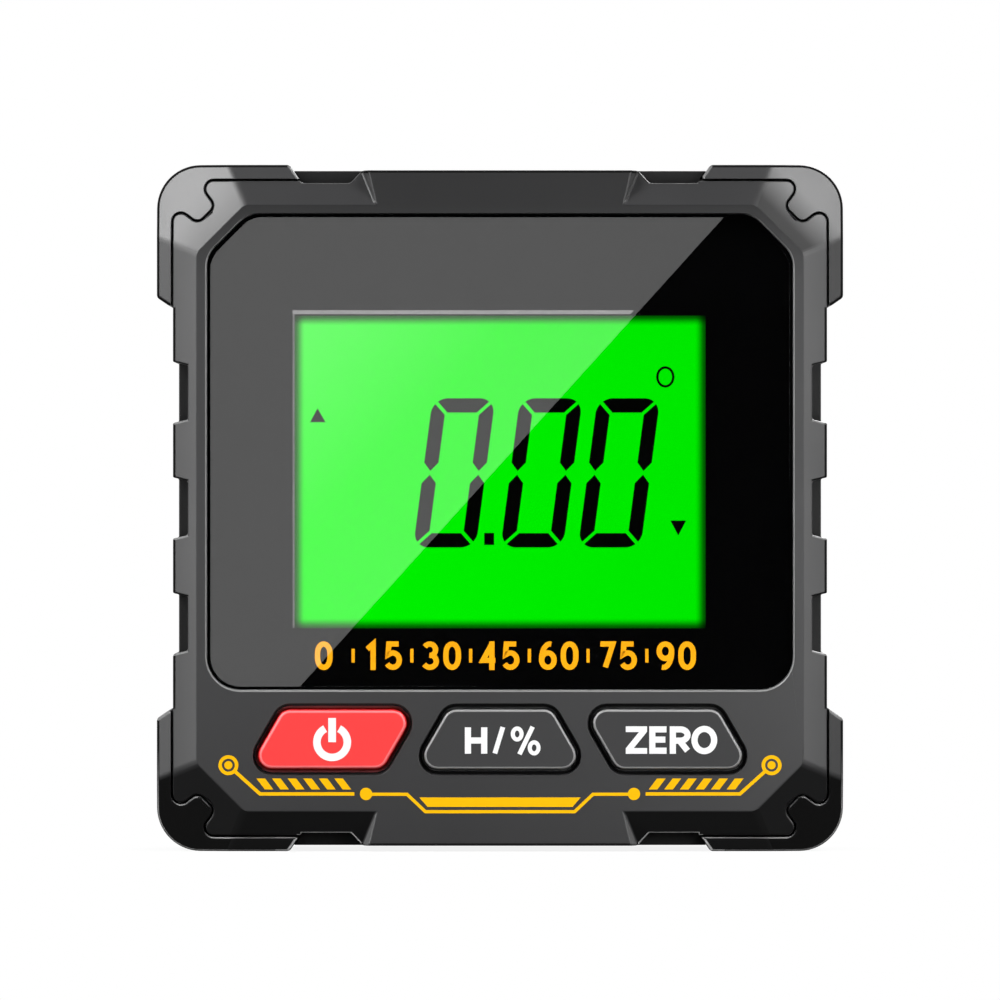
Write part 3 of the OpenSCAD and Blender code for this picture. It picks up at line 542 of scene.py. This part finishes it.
def rounded_copy(node, fine, rim=0.0, soft=0.0, segments=2, seen=None, box=None, end=0.0, window=None):
    """A welded copy of a node with its flat fields merged and a weighted bevel, widths in mm: rim on the edges of
    the bevelled faces that lie on the outline box and on the edges that look up, end on the ends of ribs and arms,
    soft on the shallow ridges, fine on the other edges. The edge of the flat face, at 31 degrees, stays sharp, and
    so do the edges for which seen(middle of the edge) is false. On keys the bevel takes a painted highlight.
    Window gives the half width, top and tightness of an opening whose corners are drawn in."""
    co, tri = welded(node)
    mesh = bpy.data.meshes.new(node + "_skin")
    mesh.from_pydata(co, [], tri)
    work = bmesh.new()
    work.from_mesh(mesh)
    bmesh.ops.dissolve_limit(work, angle_limit=math.radians(0.4), verts=work.verts, edges=work.edges)
    if window is not None:
        for vert, spot in zip(work.verts, tightened(np.array([v.co for v in work.verts]), *window)):
            vert.co = spot
    work.to_mesh(mesh)
    work.free()
    mesh.polygons.foreach_set("use_smooth", np.ones(len(mesh.polygons), dtype=bool))
    mesh.set_sharp_from_angle(angle=math.radians(SHARP))
    slot = slot_of[node]
    mesh.materials.append(MAT[slot])
    turn, wall = edge_turns(mesh)
    length, middle = edge_spans(mesh)
    crisp = turn >= CRISP
    weight = np.select([crisp, turn >= SHARP, turn > RIDGE], [fine, 0.0, soft], 0.0)
    if box is not None:
        away = from_outline(middle, box)
        x, z = np.abs(middle[:, 0]), np.abs(middle[:, 2] - MID_Z)
        reach = ARM_END if box is CASE_BOX else NO_LIMIT
        on_rim = crisp & (turn < 75) & (length > 0.3) & (away > -0.08) & (np.minimum(x, z) < reach)
        along = np.where(x > z, np.abs(wall[:, 2]), np.abs(wall[:, 0]))
        on_end = crisp & (length > 0.9) & (away < -0.15) & (away > -3.2) & (along > 0.7)
        weight = np.where(on_rim, rim, np.where(on_end, end or rim, weight))
        up = np.clip(wall[:, 2], 0, 1) * crisp * (np.abs(wall[:, 1]) < 0.3) * ~on_rim
        weight = np.maximum(weight, fine + (rim - fine) * up * (middle[:, 2] < MID_Z))
        on_groove = crisp & (middle[:, 1] < FRONT_Y + 0.05) & (x < FLAT_HALF) & (middle[:, 2] > WINDOW_LOW)
        weight = np.where(on_groove, fine + (rim - fine) * np.clip(1 + wall[:, 2], 0, 1), weight)
    if seen is not None:
        weight = np.where(seen(middle), weight, 0.0)
    layer = mesh.attributes.new("bevel_weight_edge", "FLOAT", "EDGE")
    layer.data.foreach_set("value", (weight / weight.max()).astype(np.float32))
    obj = bpy.data.objects.new(node + "_skin", mesh)
    bpy.context.scene.collection.objects.link(obj)
    bevel = obj.modifiers.new("edge radius", "BEVEL")
    bevel.limit_method = "WEIGHT"
    bevel.width, bevel.segments = float(weight.max()) * MM, segments
    bevel.harden_normals, bevel.use_clamp_overlap = True, False
    # On keys the bevel faces take the painted highlight material
    if slot in EDGE:
        mesh.materials.append(EDGE[slot])
        bevel.material = 1
    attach(obj, body_of_node[node])
    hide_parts(node)
    return obj


NEAR_SIDE, NEAR_TOP, NEAR_TOP_REAR, REAR_Y = 27.2, 27.5, 27.8, 12.5


def outside(middle):
    """Edges of the front shell that can be seen: those in front of the display and those near the outline."""
    x, z = np.abs(middle[:, 0]), np.abs(middle[:, 2] - MID_Z)
    return (middle[:, 1] < LCD_Y - 0.1) | (x > NEAR_SIDE) | (z > NEAR_TOP)


def behind(middle):
    """Edges of the rear shell that can be seen: those of the rear face and those near the outline."""
    x, z = np.abs(middle[:, 0]), np.abs(middle[:, 2] - MID_Z)
    return (middle[:, 1] > REAR_Y) | (x > NEAR_SIDE) | (z > NEAR_TOP_REAR)


GUARDS = ("guard_top_left", "guard_top_right", "guard_low_left", "guard_low_right")
RECESS = (PANE_HALF + PANE_GAP, PANE_TOP + PANE_GAP, TIGHT_RECESS)
SKINS = [rounded_copy("front_shell", 0.10, 0.2, 0.45, seen=outside, box=CASE_BOX, window=RECESS)]
SKINS += [rounded_copy("rear_shell", 0.12, 0.12, 0.4, seen=behind)]
SKINS += [rounded_copy(n, 0.07, 0.2, 0.35, box=GUARD_BOX, end=0.34) for n in GUARDS]
SKINS += [rounded_copy("power_key", 0.3, segments=5)]
SKINS += [rounded_copy(n, 0.2, segments=3) for n in ("mode_key", "zero_key")]
SKINS += [rounded_copy("battery_door", 0.15)]
print("rounded copies:", len(SKINS), "faces before bevels:", sum(len(o.data.polygons) for o in SKINS))

# %% [markdown]
# ## Window pane and its border film
# The pane lies on its black border film. A copy with its rear face drawn forward by a few
# hundredths of a millimetre leaves the film and its prints a place of their own, so that no
# two surfaces share a plane. Pane, film and recess share the tightened upper corners.

# %% Pane with room for the film, and the film
FILM = 0.02


def window_piece(name, node, tight, rear=None):
    """A copy of a flat piece of the window with tightened corners and its rear face at the level rear, in mm."""
    co, tri = welded(node)
    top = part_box(node)[1]
    co = tightened(co, float(top[0]) / MM, float(top[2]) / MM, tight)
    if rear is not None:
        co[:, 1] = np.where(co[:, 1] > (TAPE_Y - 0.01) * MM, rear * MM, co[:, 1])
    mesh = bpy.data.meshes.new(name)
    mesh.from_pydata(co, [], tri)
    mesh.materials.append(MAT[slot_of[node]])
    obj = bpy.data.objects.new(name, mesh)
    bpy.context.scene.collection.objects.link(obj)
    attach(obj, body_of_node[node])
    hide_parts(node)
    return obj


pane = window_piece("window_pane", "lens", TIGHT_PANE, TAPE_Y - 2.5 * FILM)
border = window_piece("window_border_film", "lens_tape", TIGHT_RECESS)
print("pane faces:", len(pane.data.polygons), "film faces:", len(border.data.polygons))

# %% [markdown]
# ## Tools for prints
# Silk-screen ink is a film a few hundredths of a millimetre thick. A line is a rectangular
# profile carried along a path with mitred corners; a filled mark is an outline given a
# thickness. Both are built as whole arrays of points in the face plane.

# %% Ribbon, plate and path functions


def place(name, verts, faces, ink_or_painted_rim, body):
    """A new piece from points in mm and a list of faces, painted with a print's colour or, for the window rim, a
    painted reflection, and carried by a body.
    """
    mesh = bpy.data.meshes.new(name)
    mesh.from_pydata(np.asarray(verts) * MM, [], faces)
    mesh.materials.append(INK_AND_PAINTED_RIM[ink_or_painted_rim])
    obj = bpy.data.objects.new(name, mesh)
    bpy.context.scene.collection.objects.link(obj)
    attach(obj, body)
    return obj


LIFT = 0.0025


def join(parts):
    """Several (points, faces) pairs as one pair, each lifted by its own hair so that overlaps share no plane."""
    shift = np.cumsum([0] + [len(v) for v, _ in parts[:-1]])
    faces = [[int(i + s) for i in f] for (_, fs), s in zip(parts, shift) for f in fs]
    return np.vstack([v - (0, LIFT * (k % 5), 0) for k, (v, _) in enumerate(parts)]), faces


def ribbon(path, width, y, closed=False):
    """A flat bar of the given width along a path: each point is pushed out along its mitre by half the width over
    the cosine of half the turn."""
    p = np.asarray(path, float)
    if closed:
        fwd, back = np.roll(p, -1, 0) - p, p - np.roll(p, 1, 0)
    else:
        step = np.diff(p, axis=0)
        fwd, back = np.vstack([step, step[-1:]]), np.vstack([step[:1], step])
    fwd /= np.linalg.norm(fwd, axis=1, keepdims=True)
    back /= np.linalg.norm(back, axis=1, keepdims=True)
    tangent = fwd + back
    tangent /= np.linalg.norm(tangent, axis=1, keepdims=True)
    side = np.stack([-tangent[:, 1], tangent[:, 0]], 1)
    side *= width / 2 / np.clip((tangent * fwd).sum(1), 0.35, 1)[:, None]
    a, b = p + side, p - side
    n = len(p)
    sides = ((a, y - FILM), (b, y - FILM), (b, y), (a, y))
    rows = [np.column_stack([q[:, 0], np.full(n, level), q[:, 1]]) for q, level in sides]
    verts = np.stack(rows, 1).reshape(-1, 3)
    last = n if closed else n - 1
    i = np.repeat(np.arange(last), 4)
    j = np.tile(np.arange(4), last)
    k, m = (j + 1) % 4, (i + 1) % n
    faces = np.stack([i * 4 + j, i * 4 + k, m * 4 + k, m * 4 + j], 1).tolist()
    if not closed:
        faces += [[3, 2, 1, 0], [4 * n - 4, 4 * n - 3, 4 * n - 2, 4 * n - 1]]
    return verts, faces


def plate(outline, y):
    """A filled outline with the thickness of the film."""
    p = np.asarray(outline, float)
    n = len(p)
    area = (p[:, 0] * np.roll(p[:, 1], -1) - p[:, 1] * np.roll(p[:, 0], -1)).sum()
    if area < 0:
        p = p[::-1]
    verts = np.vstack([np.column_stack([p[:, 0], np.full(n, level), p[:, 1]]) for level in (y - FILM, y)])
    i = np.arange(n)
    k = (i + 1) % n
    faces = [list(range(n)), list(range(2 * n - 1, n - 1, -1))]
    return verts, faces + np.stack([i, i + n, k + n, k], 1).tolist()


def arc(cx, cz, r, a0, a1, n):
    """n points on a circle from angle a0 to a1 in degrees."""
    t = np.radians(np.linspace(a0, a1, n))
    return np.column_stack([cx + r * np.cos(t), cz + r * np.sin(t)])


def mirrored(parts):
    """The parts and their mirror images left to right, with the faces turned over."""
    out = list(parts)
    for v, f in parts:
        out.append((v * np.array([-1, 1, 1]), [face[::-1] for face in f]))
    return out


print("print film", FILM, "mm")

# %% [markdown]
# ## Yellow trim under the keys
# A thin yellow line runs along the lower edge like a circuit trace: a ringed dot at each end,
# a slanted drop, a row of leaning hatch marks, a round pad, and a dip in the middle that holds
# a solid bar. It is the same on both sides, so one half is drawn and mirrored.

# %% Trace, hatch marks, pads and bar
y = FRONT_Y
trim = [
    ribbon(arc(-23.72, 7.54, 0.72, 0, 360, 41)[:-1], 0.31, y, closed=True),
    plate(arc(-23.72, 7.54, 0.36, 0, 360, 29)[:-1], y),
    ribbon([(-23.15, 7.0), (-20.96, 5.03), (-12.72, 5.03)], 0.30, y),
    plate(arc(-11.7, 5.03, 0.54, 0, 360, 33)[:-1], y),
    ribbon([(-11.4, 5.0), (-8.12, 5.0), (-6.52, 3.48), (0, 3.48)], 0.28, y),
]
first = np.array([(-21.27, 6.38), (-20.52, 6.38), (-19.79, 5.42), (-20.54, 5.42)])
trim += [plate(first + (1.36 * i, 0), y) for i in range(6)]
bar = plate([(-7.05, 4.72), (7.05, 4.72), (6.33, 3.90), (-6.33, 3.90)], y)
place("yellow_trim", *join(mirrored(trim) + [bar]), "yellow", "housing")
print("trim parts:", 2 * len(trim) + 1)

# %% [markdown]
# ## Key legends
# The power sign is an open ring with a bar; the other two keys carry plain function
# lettering. Strokes are ribbons along straight and rounded paths, as in a bold sign face.

# %% Stroke letters


def bowl(cx, cz, rx, rz, a0, a1, n=15):
    """Points of an oval arc in the unit box of a sign."""
    t = np.radians(np.linspace(a0, a1, n))
    return [tuple(q) for q in np.column_stack([cx + rx * np.cos(t), cz + rz * np.sin(t)])]


STROKES = {
    "H": [[(0, 0), (0, 1)], [(1, 0), (1, 1)], [(0, 0.5), (1, 0.5)]],
    "/": [[(0, 0), (1, 1)]],
    "E": [[(1, 1), (0, 1), (0, 0), (1, 0)], [(0, 0.52), (0.92, 0.52)]],
    "R": [[(0, 0), (0, 1)], [(0, 1), (0.5, 1)] + bowl(0.5, 0.735, 0.48, 0.265, 85, -90) + [(0, 0.47)],
          [(0.45, 0.47), (0.98, 0)]],
    "0": [bowl(0.5, 0.6, 0.5, 0.4, 0, 180) + bowl(0.5, 0.4, 0.5, 0.4, 180, 360)],
    "1": [[(0.15, 0.78), (0.62, 1), (0.62, 0)]],
    "3": [bowl(0.46, 0.755, 0.46, 0.245, 150, -90), bowl(0.46, 0.26, 0.52, 0.26, 95, -150)],
    "4": [[(0.72, 0), (0.72, 1)], [(0.72, 1), (0, 0.3), (1, 0.3)]],
    "5": [[(0.92, 1), (0.14, 1), (0.08, 0.54)] + bowl(0.46, 0.31, 0.52, 0.31, 125, -150)],
    "6": [bowl(0.5, 0.31, 0.5, 0.31, 0, 360, 25)[:-1], bowl(0.66, 0.35, 0.66, 0.65, 180, 80)],
    "7": [[(0, 1), (1, 1), (0.4, 0)]],
    "9": [bowl(0.5, 0.69, 0.5, 0.31, 0, 360, 25)[:-1], bowl(0.34, 0.65, 0.66, 0.65, 0, -100)],
}


def letter(sign, x, z, w, h, stroke, y):
    """The strokes of a sign in a box at x, z of size w by h, kept inside it by half a stroke."""
    size = np.array([w - stroke, h - stroke])
    parts = []
    for number, path in enumerate(STROKES[sign]):
        closed = sign in "069" and number == 0
        p = np.array([x, z]) + stroke / 2 + np.asarray(path, float) * size
        if not closed:
            ends, inner = p[[0, -1]], p[[1, -2]]
            step = (ends - inner) / np.linalg.norm(ends - inner, axis=1, keepdims=True)
            square = (np.abs(step[:, 0]) < 0.01)[:, None]
            p[[0, -1]] += step * square * stroke / 2
        parts.append(ribbon(p, stroke, y, closed))
    return parts


def oval(x, z, rx, rz, stroke, y):
    """A closed oval line about x, z with the given outer half sizes."""
    t = np.linspace(0, 2 * math.pi, 33)[:-1]
    path = np.column_stack([x + (rx - stroke / 2) * np.cos(t), z + (rz - stroke / 2) * np.sin(t)])
    return ribbon(path, stroke, y, True)


def block(x0, x1, z0, z1, y):
    """A filled rectangle."""
    return plate([(x0, z0), (x1, z0), (x1, z1), (x0, z1)], y)


y = KEY_Y
power = [ribbon(arc(-14.66, 9.55, 1.33, 117, 423, 49), 0.66, y), block(-15.0, -14.32, 9.55, 11.67, y)]
place("power_sign", *join(power), "white", "power_key")
mode = letter("H", -3.07, 8.55, 1.96, 2.3, 0.54, y) + letter("/", -0.66, 8.36, 1.12, 2.72, 0.42, y)
mode += [oval(1.5, 10.27, 0.56, 0.66, 0.36, y), oval(2.98, 9.06, 0.56, 0.66, 0.36, y)]
mode += [ribbon([(1.7, 8.5), (2.85, 10.9)], 0.4, y)]
place("mode_sign", *join(mode), "white", "mode_key")
BASE, TALL, BOLD = 8.54, 2.4, 0.54
slant = np.array([(0, 1), (1, 1), (1, 0.8), (0.38, 0.21), (1, 0.21),
                  (1, 0), (0, 0), (0, 0.2), (0.62, 0.79), (0, 0.79)])
zero = [plate(slant * (1.86, TALL) + (10.98, BASE), y)]
for sign, x, w in (("E", 13.03, 1.78), ("R", 14.82, 1.85)):
    zero += letter(sign, x, BASE, w, TALL, BOLD, y)
zero.append(oval(17.84, BASE + TALL / 2, 1.13, TALL / 2 + 0.04, BOLD, y))
place("zero_sign", *join(zero), "white", "zero_key")
print("legends on three keys")

# %% [markdown]
# ## Display figures
# The display shows three leaning figures of seven segments with the middle one off, a
# decimal point, a degree ring and two small arrows. Each segment is an outline worked out in
# an upright box and then sheared; the outer corners follow one arc, cut along the diagonal
# where two segments meet.

# %% Seven-segment zeros
HALF_W, HALF_H, STROKE, GAP, ROUND, LEAN = 2.74, 6.52, 1.25, 0.21, 1.35, 0.131


def corner_segment():
    """Half of the upper segment and the right upper segment of an upright figure, as two outlines."""
    turn = math.degrees(math.asin(GAP / math.sqrt(2) / ROUND))
    cx, cz = HALF_W - ROUND, HALF_H - ROUND
    in_x, in_z = HALF_W - STROKE, HALF_H - STROKE
    top = np.vstack([[(0, in_z), (in_x - GAP, in_z)], arc(cx, cz, ROUND, 45 + turn, 90, 7), [(0, HALF_H)]])
    tip = [(in_x, 0.9), (HALF_W - STROKE / 2, 0.17), (HALF_W, 0.9)]
    right = np.vstack([tip, arc(cx, cz, ROUND, 0, 45 - turn, 7), [(in_x, in_z - GAP)]])
    return top, right


def figure(x, z, y):
    """The six lit segments of a zero: two outlines mirrored about both axes, then sheared."""
    top, right = corner_segment()
    parts = []
    for sx in (-1, 1):
        for sz in (-1, 1):
            for outline in (top, right):
                q = outline * (sx, sz)
                parts.append(plate(np.column_stack([x + q[:, 0] + LEAN * q[:, 1], z + q[:, 1]]), y))
    return parts


y = LCD_Y
marks = [p for x in (-4.0, 3.63, 10.41) for p in figure(x, 33.07, y)]
marks.append(block(-1.38, -0.52, 26.77, 27.82, y))
marks.append(oval(14.45, 41.46, 0.80, 0.93, 0.21, y))
marks.append(plate([(-16.6, 37.5), (-15.25, 37.5), (-15.95, 38.7)], y))
marks.append(plate([(14.9, 28.9), (16.27, 28.9), (15.58, 27.6)], y))
place("display_figures", *join(marks), "segment", "housing")
print("display marks:", len(marks))

# %% [markdown]
# ## Painted reflection and prints behind the window
# A pale hairline along the top and the left of the clear view is a painted reflection of the
# window's edge, paler along the top and ending where the sheen ends. Below the view the border
# carries a plain orange row of angle numbers with short ticks between them.

# %% Painted reflection at the window's rim, and the number row
y = TAPE_Y
x0 = VIEW["x"] - VIEW["w"] / 2
z0, z1 = VIEW["z"] - VIEW["h"] / 2, VIEW["z"] + VIEW["h"] / 2
# The rim line is a painted reflection; it ends at RIM_END, where the sheen ends
RIM_TOP, RIM_SIDE, RIM_END, RIM_UP = 0.34, 0.17, 11.4, 0.14
low, high = z1 + RIM_UP, z1 + RIM_UP + RIM_TOP
top = [(x0 - RIM_SIDE, low), (RIM_END, low), (RIM_END + 0.3, high), (x0 - RIM_SIDE, high)]
place("window_rim_top", *plate(top, y), "rim", "housing")
place("window_rim_side", *block(x0 - RIM_SIDE, x0, z0, low, y), "rim_side", "housing")
NUMBERS = ("0", "15", "30", "45", "60", "75", "90")
DIGIT_W, DIGIT_H, DIGIT_GAP, DIGIT_Z, DIGIT_STROKE, TICK = 1.55, 2.5, 0.35, 15.85, 0.46, 0.14
row = []
centres = np.linspace(-15.4, 15.4, len(NUMBERS))
for value, xc in zip(NUMBERS, centres):
    width = DIGIT_W * len(value) + DIGIT_GAP * (len(value) - 1)
    for i, sign in enumerate(value):
        x = xc - width / 2 + (DIGIT_W + DIGIT_GAP) * i
        row += letter(sign, x, DIGIT_Z, DIGIT_W, DIGIT_H, DIGIT_STROKE, y)
for x in (centres[:-1] + centres[1:]) / 2:
    row.append(block(x - TICK, x + TICK, 16.5, 17.7, y))
place("number_row", *join(row), "orange", "housing")
print("number row parts:", len(row))

# %% [markdown]
# ## Studio
# The gauge stands on a floor in front of a backdrop, both white to the camera. Two soft boxes
# high on the left and right make the bright corner facets, two wide ones level with the gauge
# light the side bevels, two small ones in front of the foot catch the lower edges, and one far
# behind lights the back. Behind the camera a pale card with a slanted edge, in front of a dark
# flag, is what the window mirrors as its diagonal sheen. The long lens keeps the view square-on.

# %% Camera, lamps, cards and backdrop
scene = bpy.context.scene
CAM_Y, CAM_Z = -2.0, 0.0307
PIXELS, PIXELS_PER_M, SENSOR = 1000, 11450.0, 36.0
cam = bpy.data.objects.new("camera", bpy.data.cameras.new("camera"))
scene.collection.objects.link(cam)
cam.location = (0, CAM_Y, CAM_Z)
cam.rotation_euler = (math.radians(90), 0, 0)
cam.data.sensor_width = SENSOR
cam.data.lens = SENSOR * (FRONT_Y * MM - CAM_Y) / (PIXELS / PIXELS_PER_M)
cam.data.clip_end = 20
scene.camera = cam


def soft_box(name, place_at, aim, size, power):
    """A rectangular area lamp that looks at a point."""
    lamp = bpy.data.lights.new(name, "AREA")
    lamp.shape, lamp.energy = "RECTANGLE", power
    lamp.size, lamp.size_y = size
    obj = bpy.data.objects.new(name, lamp)
    scene.collection.objects.link(obj)
    obj.location = place_at
    d = np.array(aim) - np.array(place_at)
    obj.rotation_euler = (math.acos(-d[2] / np.linalg.norm(d)), 0, math.atan2(d[1], d[0]) - math.pi / 2)


AIM = (0, 0, 0.03)
LAMPS = (  # name, place, aim, size in metres, watts
    ("corner_left", (-0.59, -0.45, 0.62), AIM, (0.42, 0.42), 8.1),
    ("corner_right", (0.59, -0.45, 0.62), AIM, (0.42, 0.42), 6.3),
    ("kicker", (-0.052, -0.15, 0.012), (-0.02, 0, 0.012), (0.03, 0.08), 0.015),
    ("kicker", (0.052, -0.15, 0.012), (0.02, 0, 0.012), (0.03, 0.08), 0.045),
    ("back_fill", (0.4, 1.1, 0.8), AIM, (0.6, 0.6), 12.0),
    ("strip_left", (-0.85, -0.45, 0.26), AIM, (0.34, 0.5), 3.0),
    ("strip_right", (0.85, -0.45, 0.26), AIM, (0.34, 0.5), 2.7),
)
for lamp in LAMPS:
    soft_box(*lamp)


def stage_plane(name, corners, shader, *values):
    """A flat four-cornered stage piece whose material is built by shader(tree, *values)."""
    mesh = bpy.data.meshes.new(name)
    mesh.from_pydata(np.asarray(corners, float), [], [list(range(len(corners)))])
    mat = bpy.data.materials.new(name)
    mat.use_nodes = True
    mat.node_tree.nodes.clear()
    shader(mat.node_tree, *values)
    mesh.materials.append(mat)
    obj = bpy.data.objects.new(name, mesh)
    scene.collection.objects.link(obj)


FOOT = (0.022, 0.036)  # distances in metres between which the shadow under the foot fades out
SHADOW_WHITE = 0.86  # share of plain white in that shadow


def white_page(tree, tone, near):
    """Paint of the given tone that camera, mirror and glass rays see as white. Under the foot of the object the
    camera sees a pale paint's shadow mixed in, and within near metres mirrors see the paint itself."""
    add, link = tree.nodes.new, tree.links.new
    kinds = ("OutputMaterial", "LightPath", "TexCoord", "VectorMath", "BsdfDiffuse", "BsdfDiffuse", "Emission")
    out, path, coord, reach, paint, pale, glow = (add("ShaderNode" + k) for k in kinds)
    paint.inputs["Color"].default_value = (tone, tone, tone, 1)
    pale.inputs["Color"].default_value = (0.8, 0.8, 0.8, 1)
    reach.operation = "LENGTH"
    link(coord.outputs["Object"], reach.inputs[0])
    fade = []
    for start, first, last in ((SHADOW_WHITE, *FOOT), (0.0, near * 0.3, near)):
        span = add("ShaderNodeMapRange")
        span.interpolation_type = "SMOOTHSTEP"
        for label, value in (("From Min", first), ("From Max", last), ("To Min", start), ("To Max", 1.0)):
            span.inputs[label].default_value = value
        link(reach.outputs["Value"], span.inputs["Value"])
        fade.append(span.outputs["Result"])
    seen = add("ShaderNodeMixShader")
    link(fade[0], seen.inputs[0])
    link(pale.outputs[0], seen.inputs[1])
    link(glow.outputs[0], seen.inputs[2])
    mirror = add("ShaderNodeMath")
    mirror.operation = "MULTIPLY"
    link(path.outputs["Is Glossy Ray"], mirror.inputs[0])
    link(fade[1], mirror.inputs[1])
    glossy, direct, rays = add("ShaderNodeMixShader"), add("ShaderNodeMixShader"), add("ShaderNodeMath")
    link(mirror.outputs[0], glossy.inputs[0])
    link(paint.outputs[0], glossy.inputs[1])
    link(glow.outputs[0], glossy.inputs[2])
    rays.operation = "MAXIMUM"
    link(path.outputs["Is Camera Ray"], rays.inputs[0])
    link(path.outputs["Is Transmission Ray"], rays.inputs[1])
    link(rays.outputs[0], direct.inputs[0])
    link(glossy.outputs[0], direct.inputs[1])
    link(seen.outputs[0], direct.inputs[2])
    link(direct.outputs[0], out.inputs["Surface"])


def white_to_camera(tree, shader):
    """The shader for all rays but the camera's own, which meet plain white."""
    path, page, mix = (tree.nodes.new("ShaderNode" + k) for k in ("LightPath", "Emission", "MixShader"))
    tree.links.new(path.outputs["Is Camera Ray"], mix.inputs[0])
    tree.links.new(shader, mix.inputs[1])
    tree.links.new(page.outputs[0], mix.inputs[2])
    return mix.outputs[0]


def sheen(tree):
    """Pale card: brighter away from its slanted edge."""
    add, link = tree.nodes.new, tree.links.new
    kinds = ("OutputMaterial", "Emission", "TexCoord", "SeparateXYZ")
    out, glow, coord, split = (add("ShaderNode" + k) for k in kinds)
    link(coord.outputs["Object"], split.inputs[0])
    minus = add("ShaderNodeMath")
    minus.operation = "SUBTRACT"
    link(split.outputs["Z"], minus.inputs[0])
    link(split.outputs["X"], minus.inputs[1])
    span = add("ShaderNodeMapRange")
    for label, value in (("From Min", 0.03), ("From Max", 0.14), ("To Min", 0.73), ("To Max", 0.77)):
        span.inputs[label].default_value = value
    link(minus.outputs[0], span.inputs["Value"])
    link(span.outputs["Result"], glow.inputs["Strength"])
    link(white_to_camera(tree, glow.outputs[0]), out.inputs["Surface"])


def flag(tree):
    """Matt black."""
    out, diffuse = tree.nodes.new("ShaderNodeOutputMaterial"), tree.nodes.new("ShaderNodeBsdfDiffuse")
    diffuse.inputs["Color"].default_value = (0.002, 0.002, 0.002, 1)
    tree.links.new(white_to_camera(tree, diffuse.outputs[0]), out.inputs["Surface"])


SIDE_X, NEAR_Y, FAR_Y, TALL_Z = 3, -1.5, 2.6, 3
FLOOR = [(-SIDE_X, NEAR_Y, 0), (SIDE_X, NEAR_Y, 0), (SIDE_X, FAR_Y, 0), (-SIDE_X, FAR_Y, 0)]
stage_plane("floor", FLOOR, white_page, 0.04, 0.16)
BACK = [(-SIDE_X, FAR_Y, 0), (SIDE_X, FAR_Y, 0), (SIDE_X, FAR_Y, TALL_Z), (-SIDE_X, FAR_Y, TALL_Z)]
stage_plane("backdrop", BACK, white_page, 0.5, 0.01)
# The edge of the sheen is given by two points on the face. A mirror ray from the camera meets the card at the
# point times 1 + (face to card) / (face to camera), measured from the camera's axis.
CARD_Y, FLAG_Y = CAM_Y - 0.2, CAM_Y - 0.2 - 0.05
SHEEN_EDGE, OVERSHOOT, CARD_DEPTH = [(-17.4, 14.5), (19.55, 55.4)], 0.6, (-0.14, 0.125)
grow = MM * (1 + (FRONT_Y * MM - CARD_Y) / (FRONT_Y * MM - CAM_Y))
edge = np.array(SHEEN_EDGE) - (0, CAM_Z / MM)
along = (edge[1] - edge[0]) * OVERSHOOT
edge = np.vstack([edge[0] - along, edge[1] + along]) * grow + (0, CAM_Z)
far = edge + np.array(CARD_DEPTH)
stage_plane("sheen_card", [(x, CARD_Y, z) for x, z in (edge[0], edge[1], far[1], far[0])], sheen)
FLAG_X, FLAG_LOW, FLAG_HIGH = 0.45, -0.5, 0.6
FLAG = ((-FLAG_X, FLAG_LOW), (FLAG_X, FLAG_LOW), (FLAG_X, FLAG_HIGH), (-FLAG_X, FLAG_HIGH))
stage_plane("dark_flag", [(x, FLAG_Y, z) for x, z in FLAG], flag)
world = bpy.data.worlds.new("studio")
scene.world = world
world.use_nodes = True
sky = world.node_tree
sky.nodes["Background"].inputs["Color"].default_value = (0.5, 0.5, 0.5, 1)
sky.nodes["Background"].inputs["Strength"].default_value = 0.1
page = white_to_camera(sky, sky.nodes["Background"].outputs[0])
sky.links.new(page, sky.nodes["World Output"].inputs["Surface"])
scene.view_settings.view_transform = "Standard"
print("camera lens", round(cam.data.lens, 1), "mm")
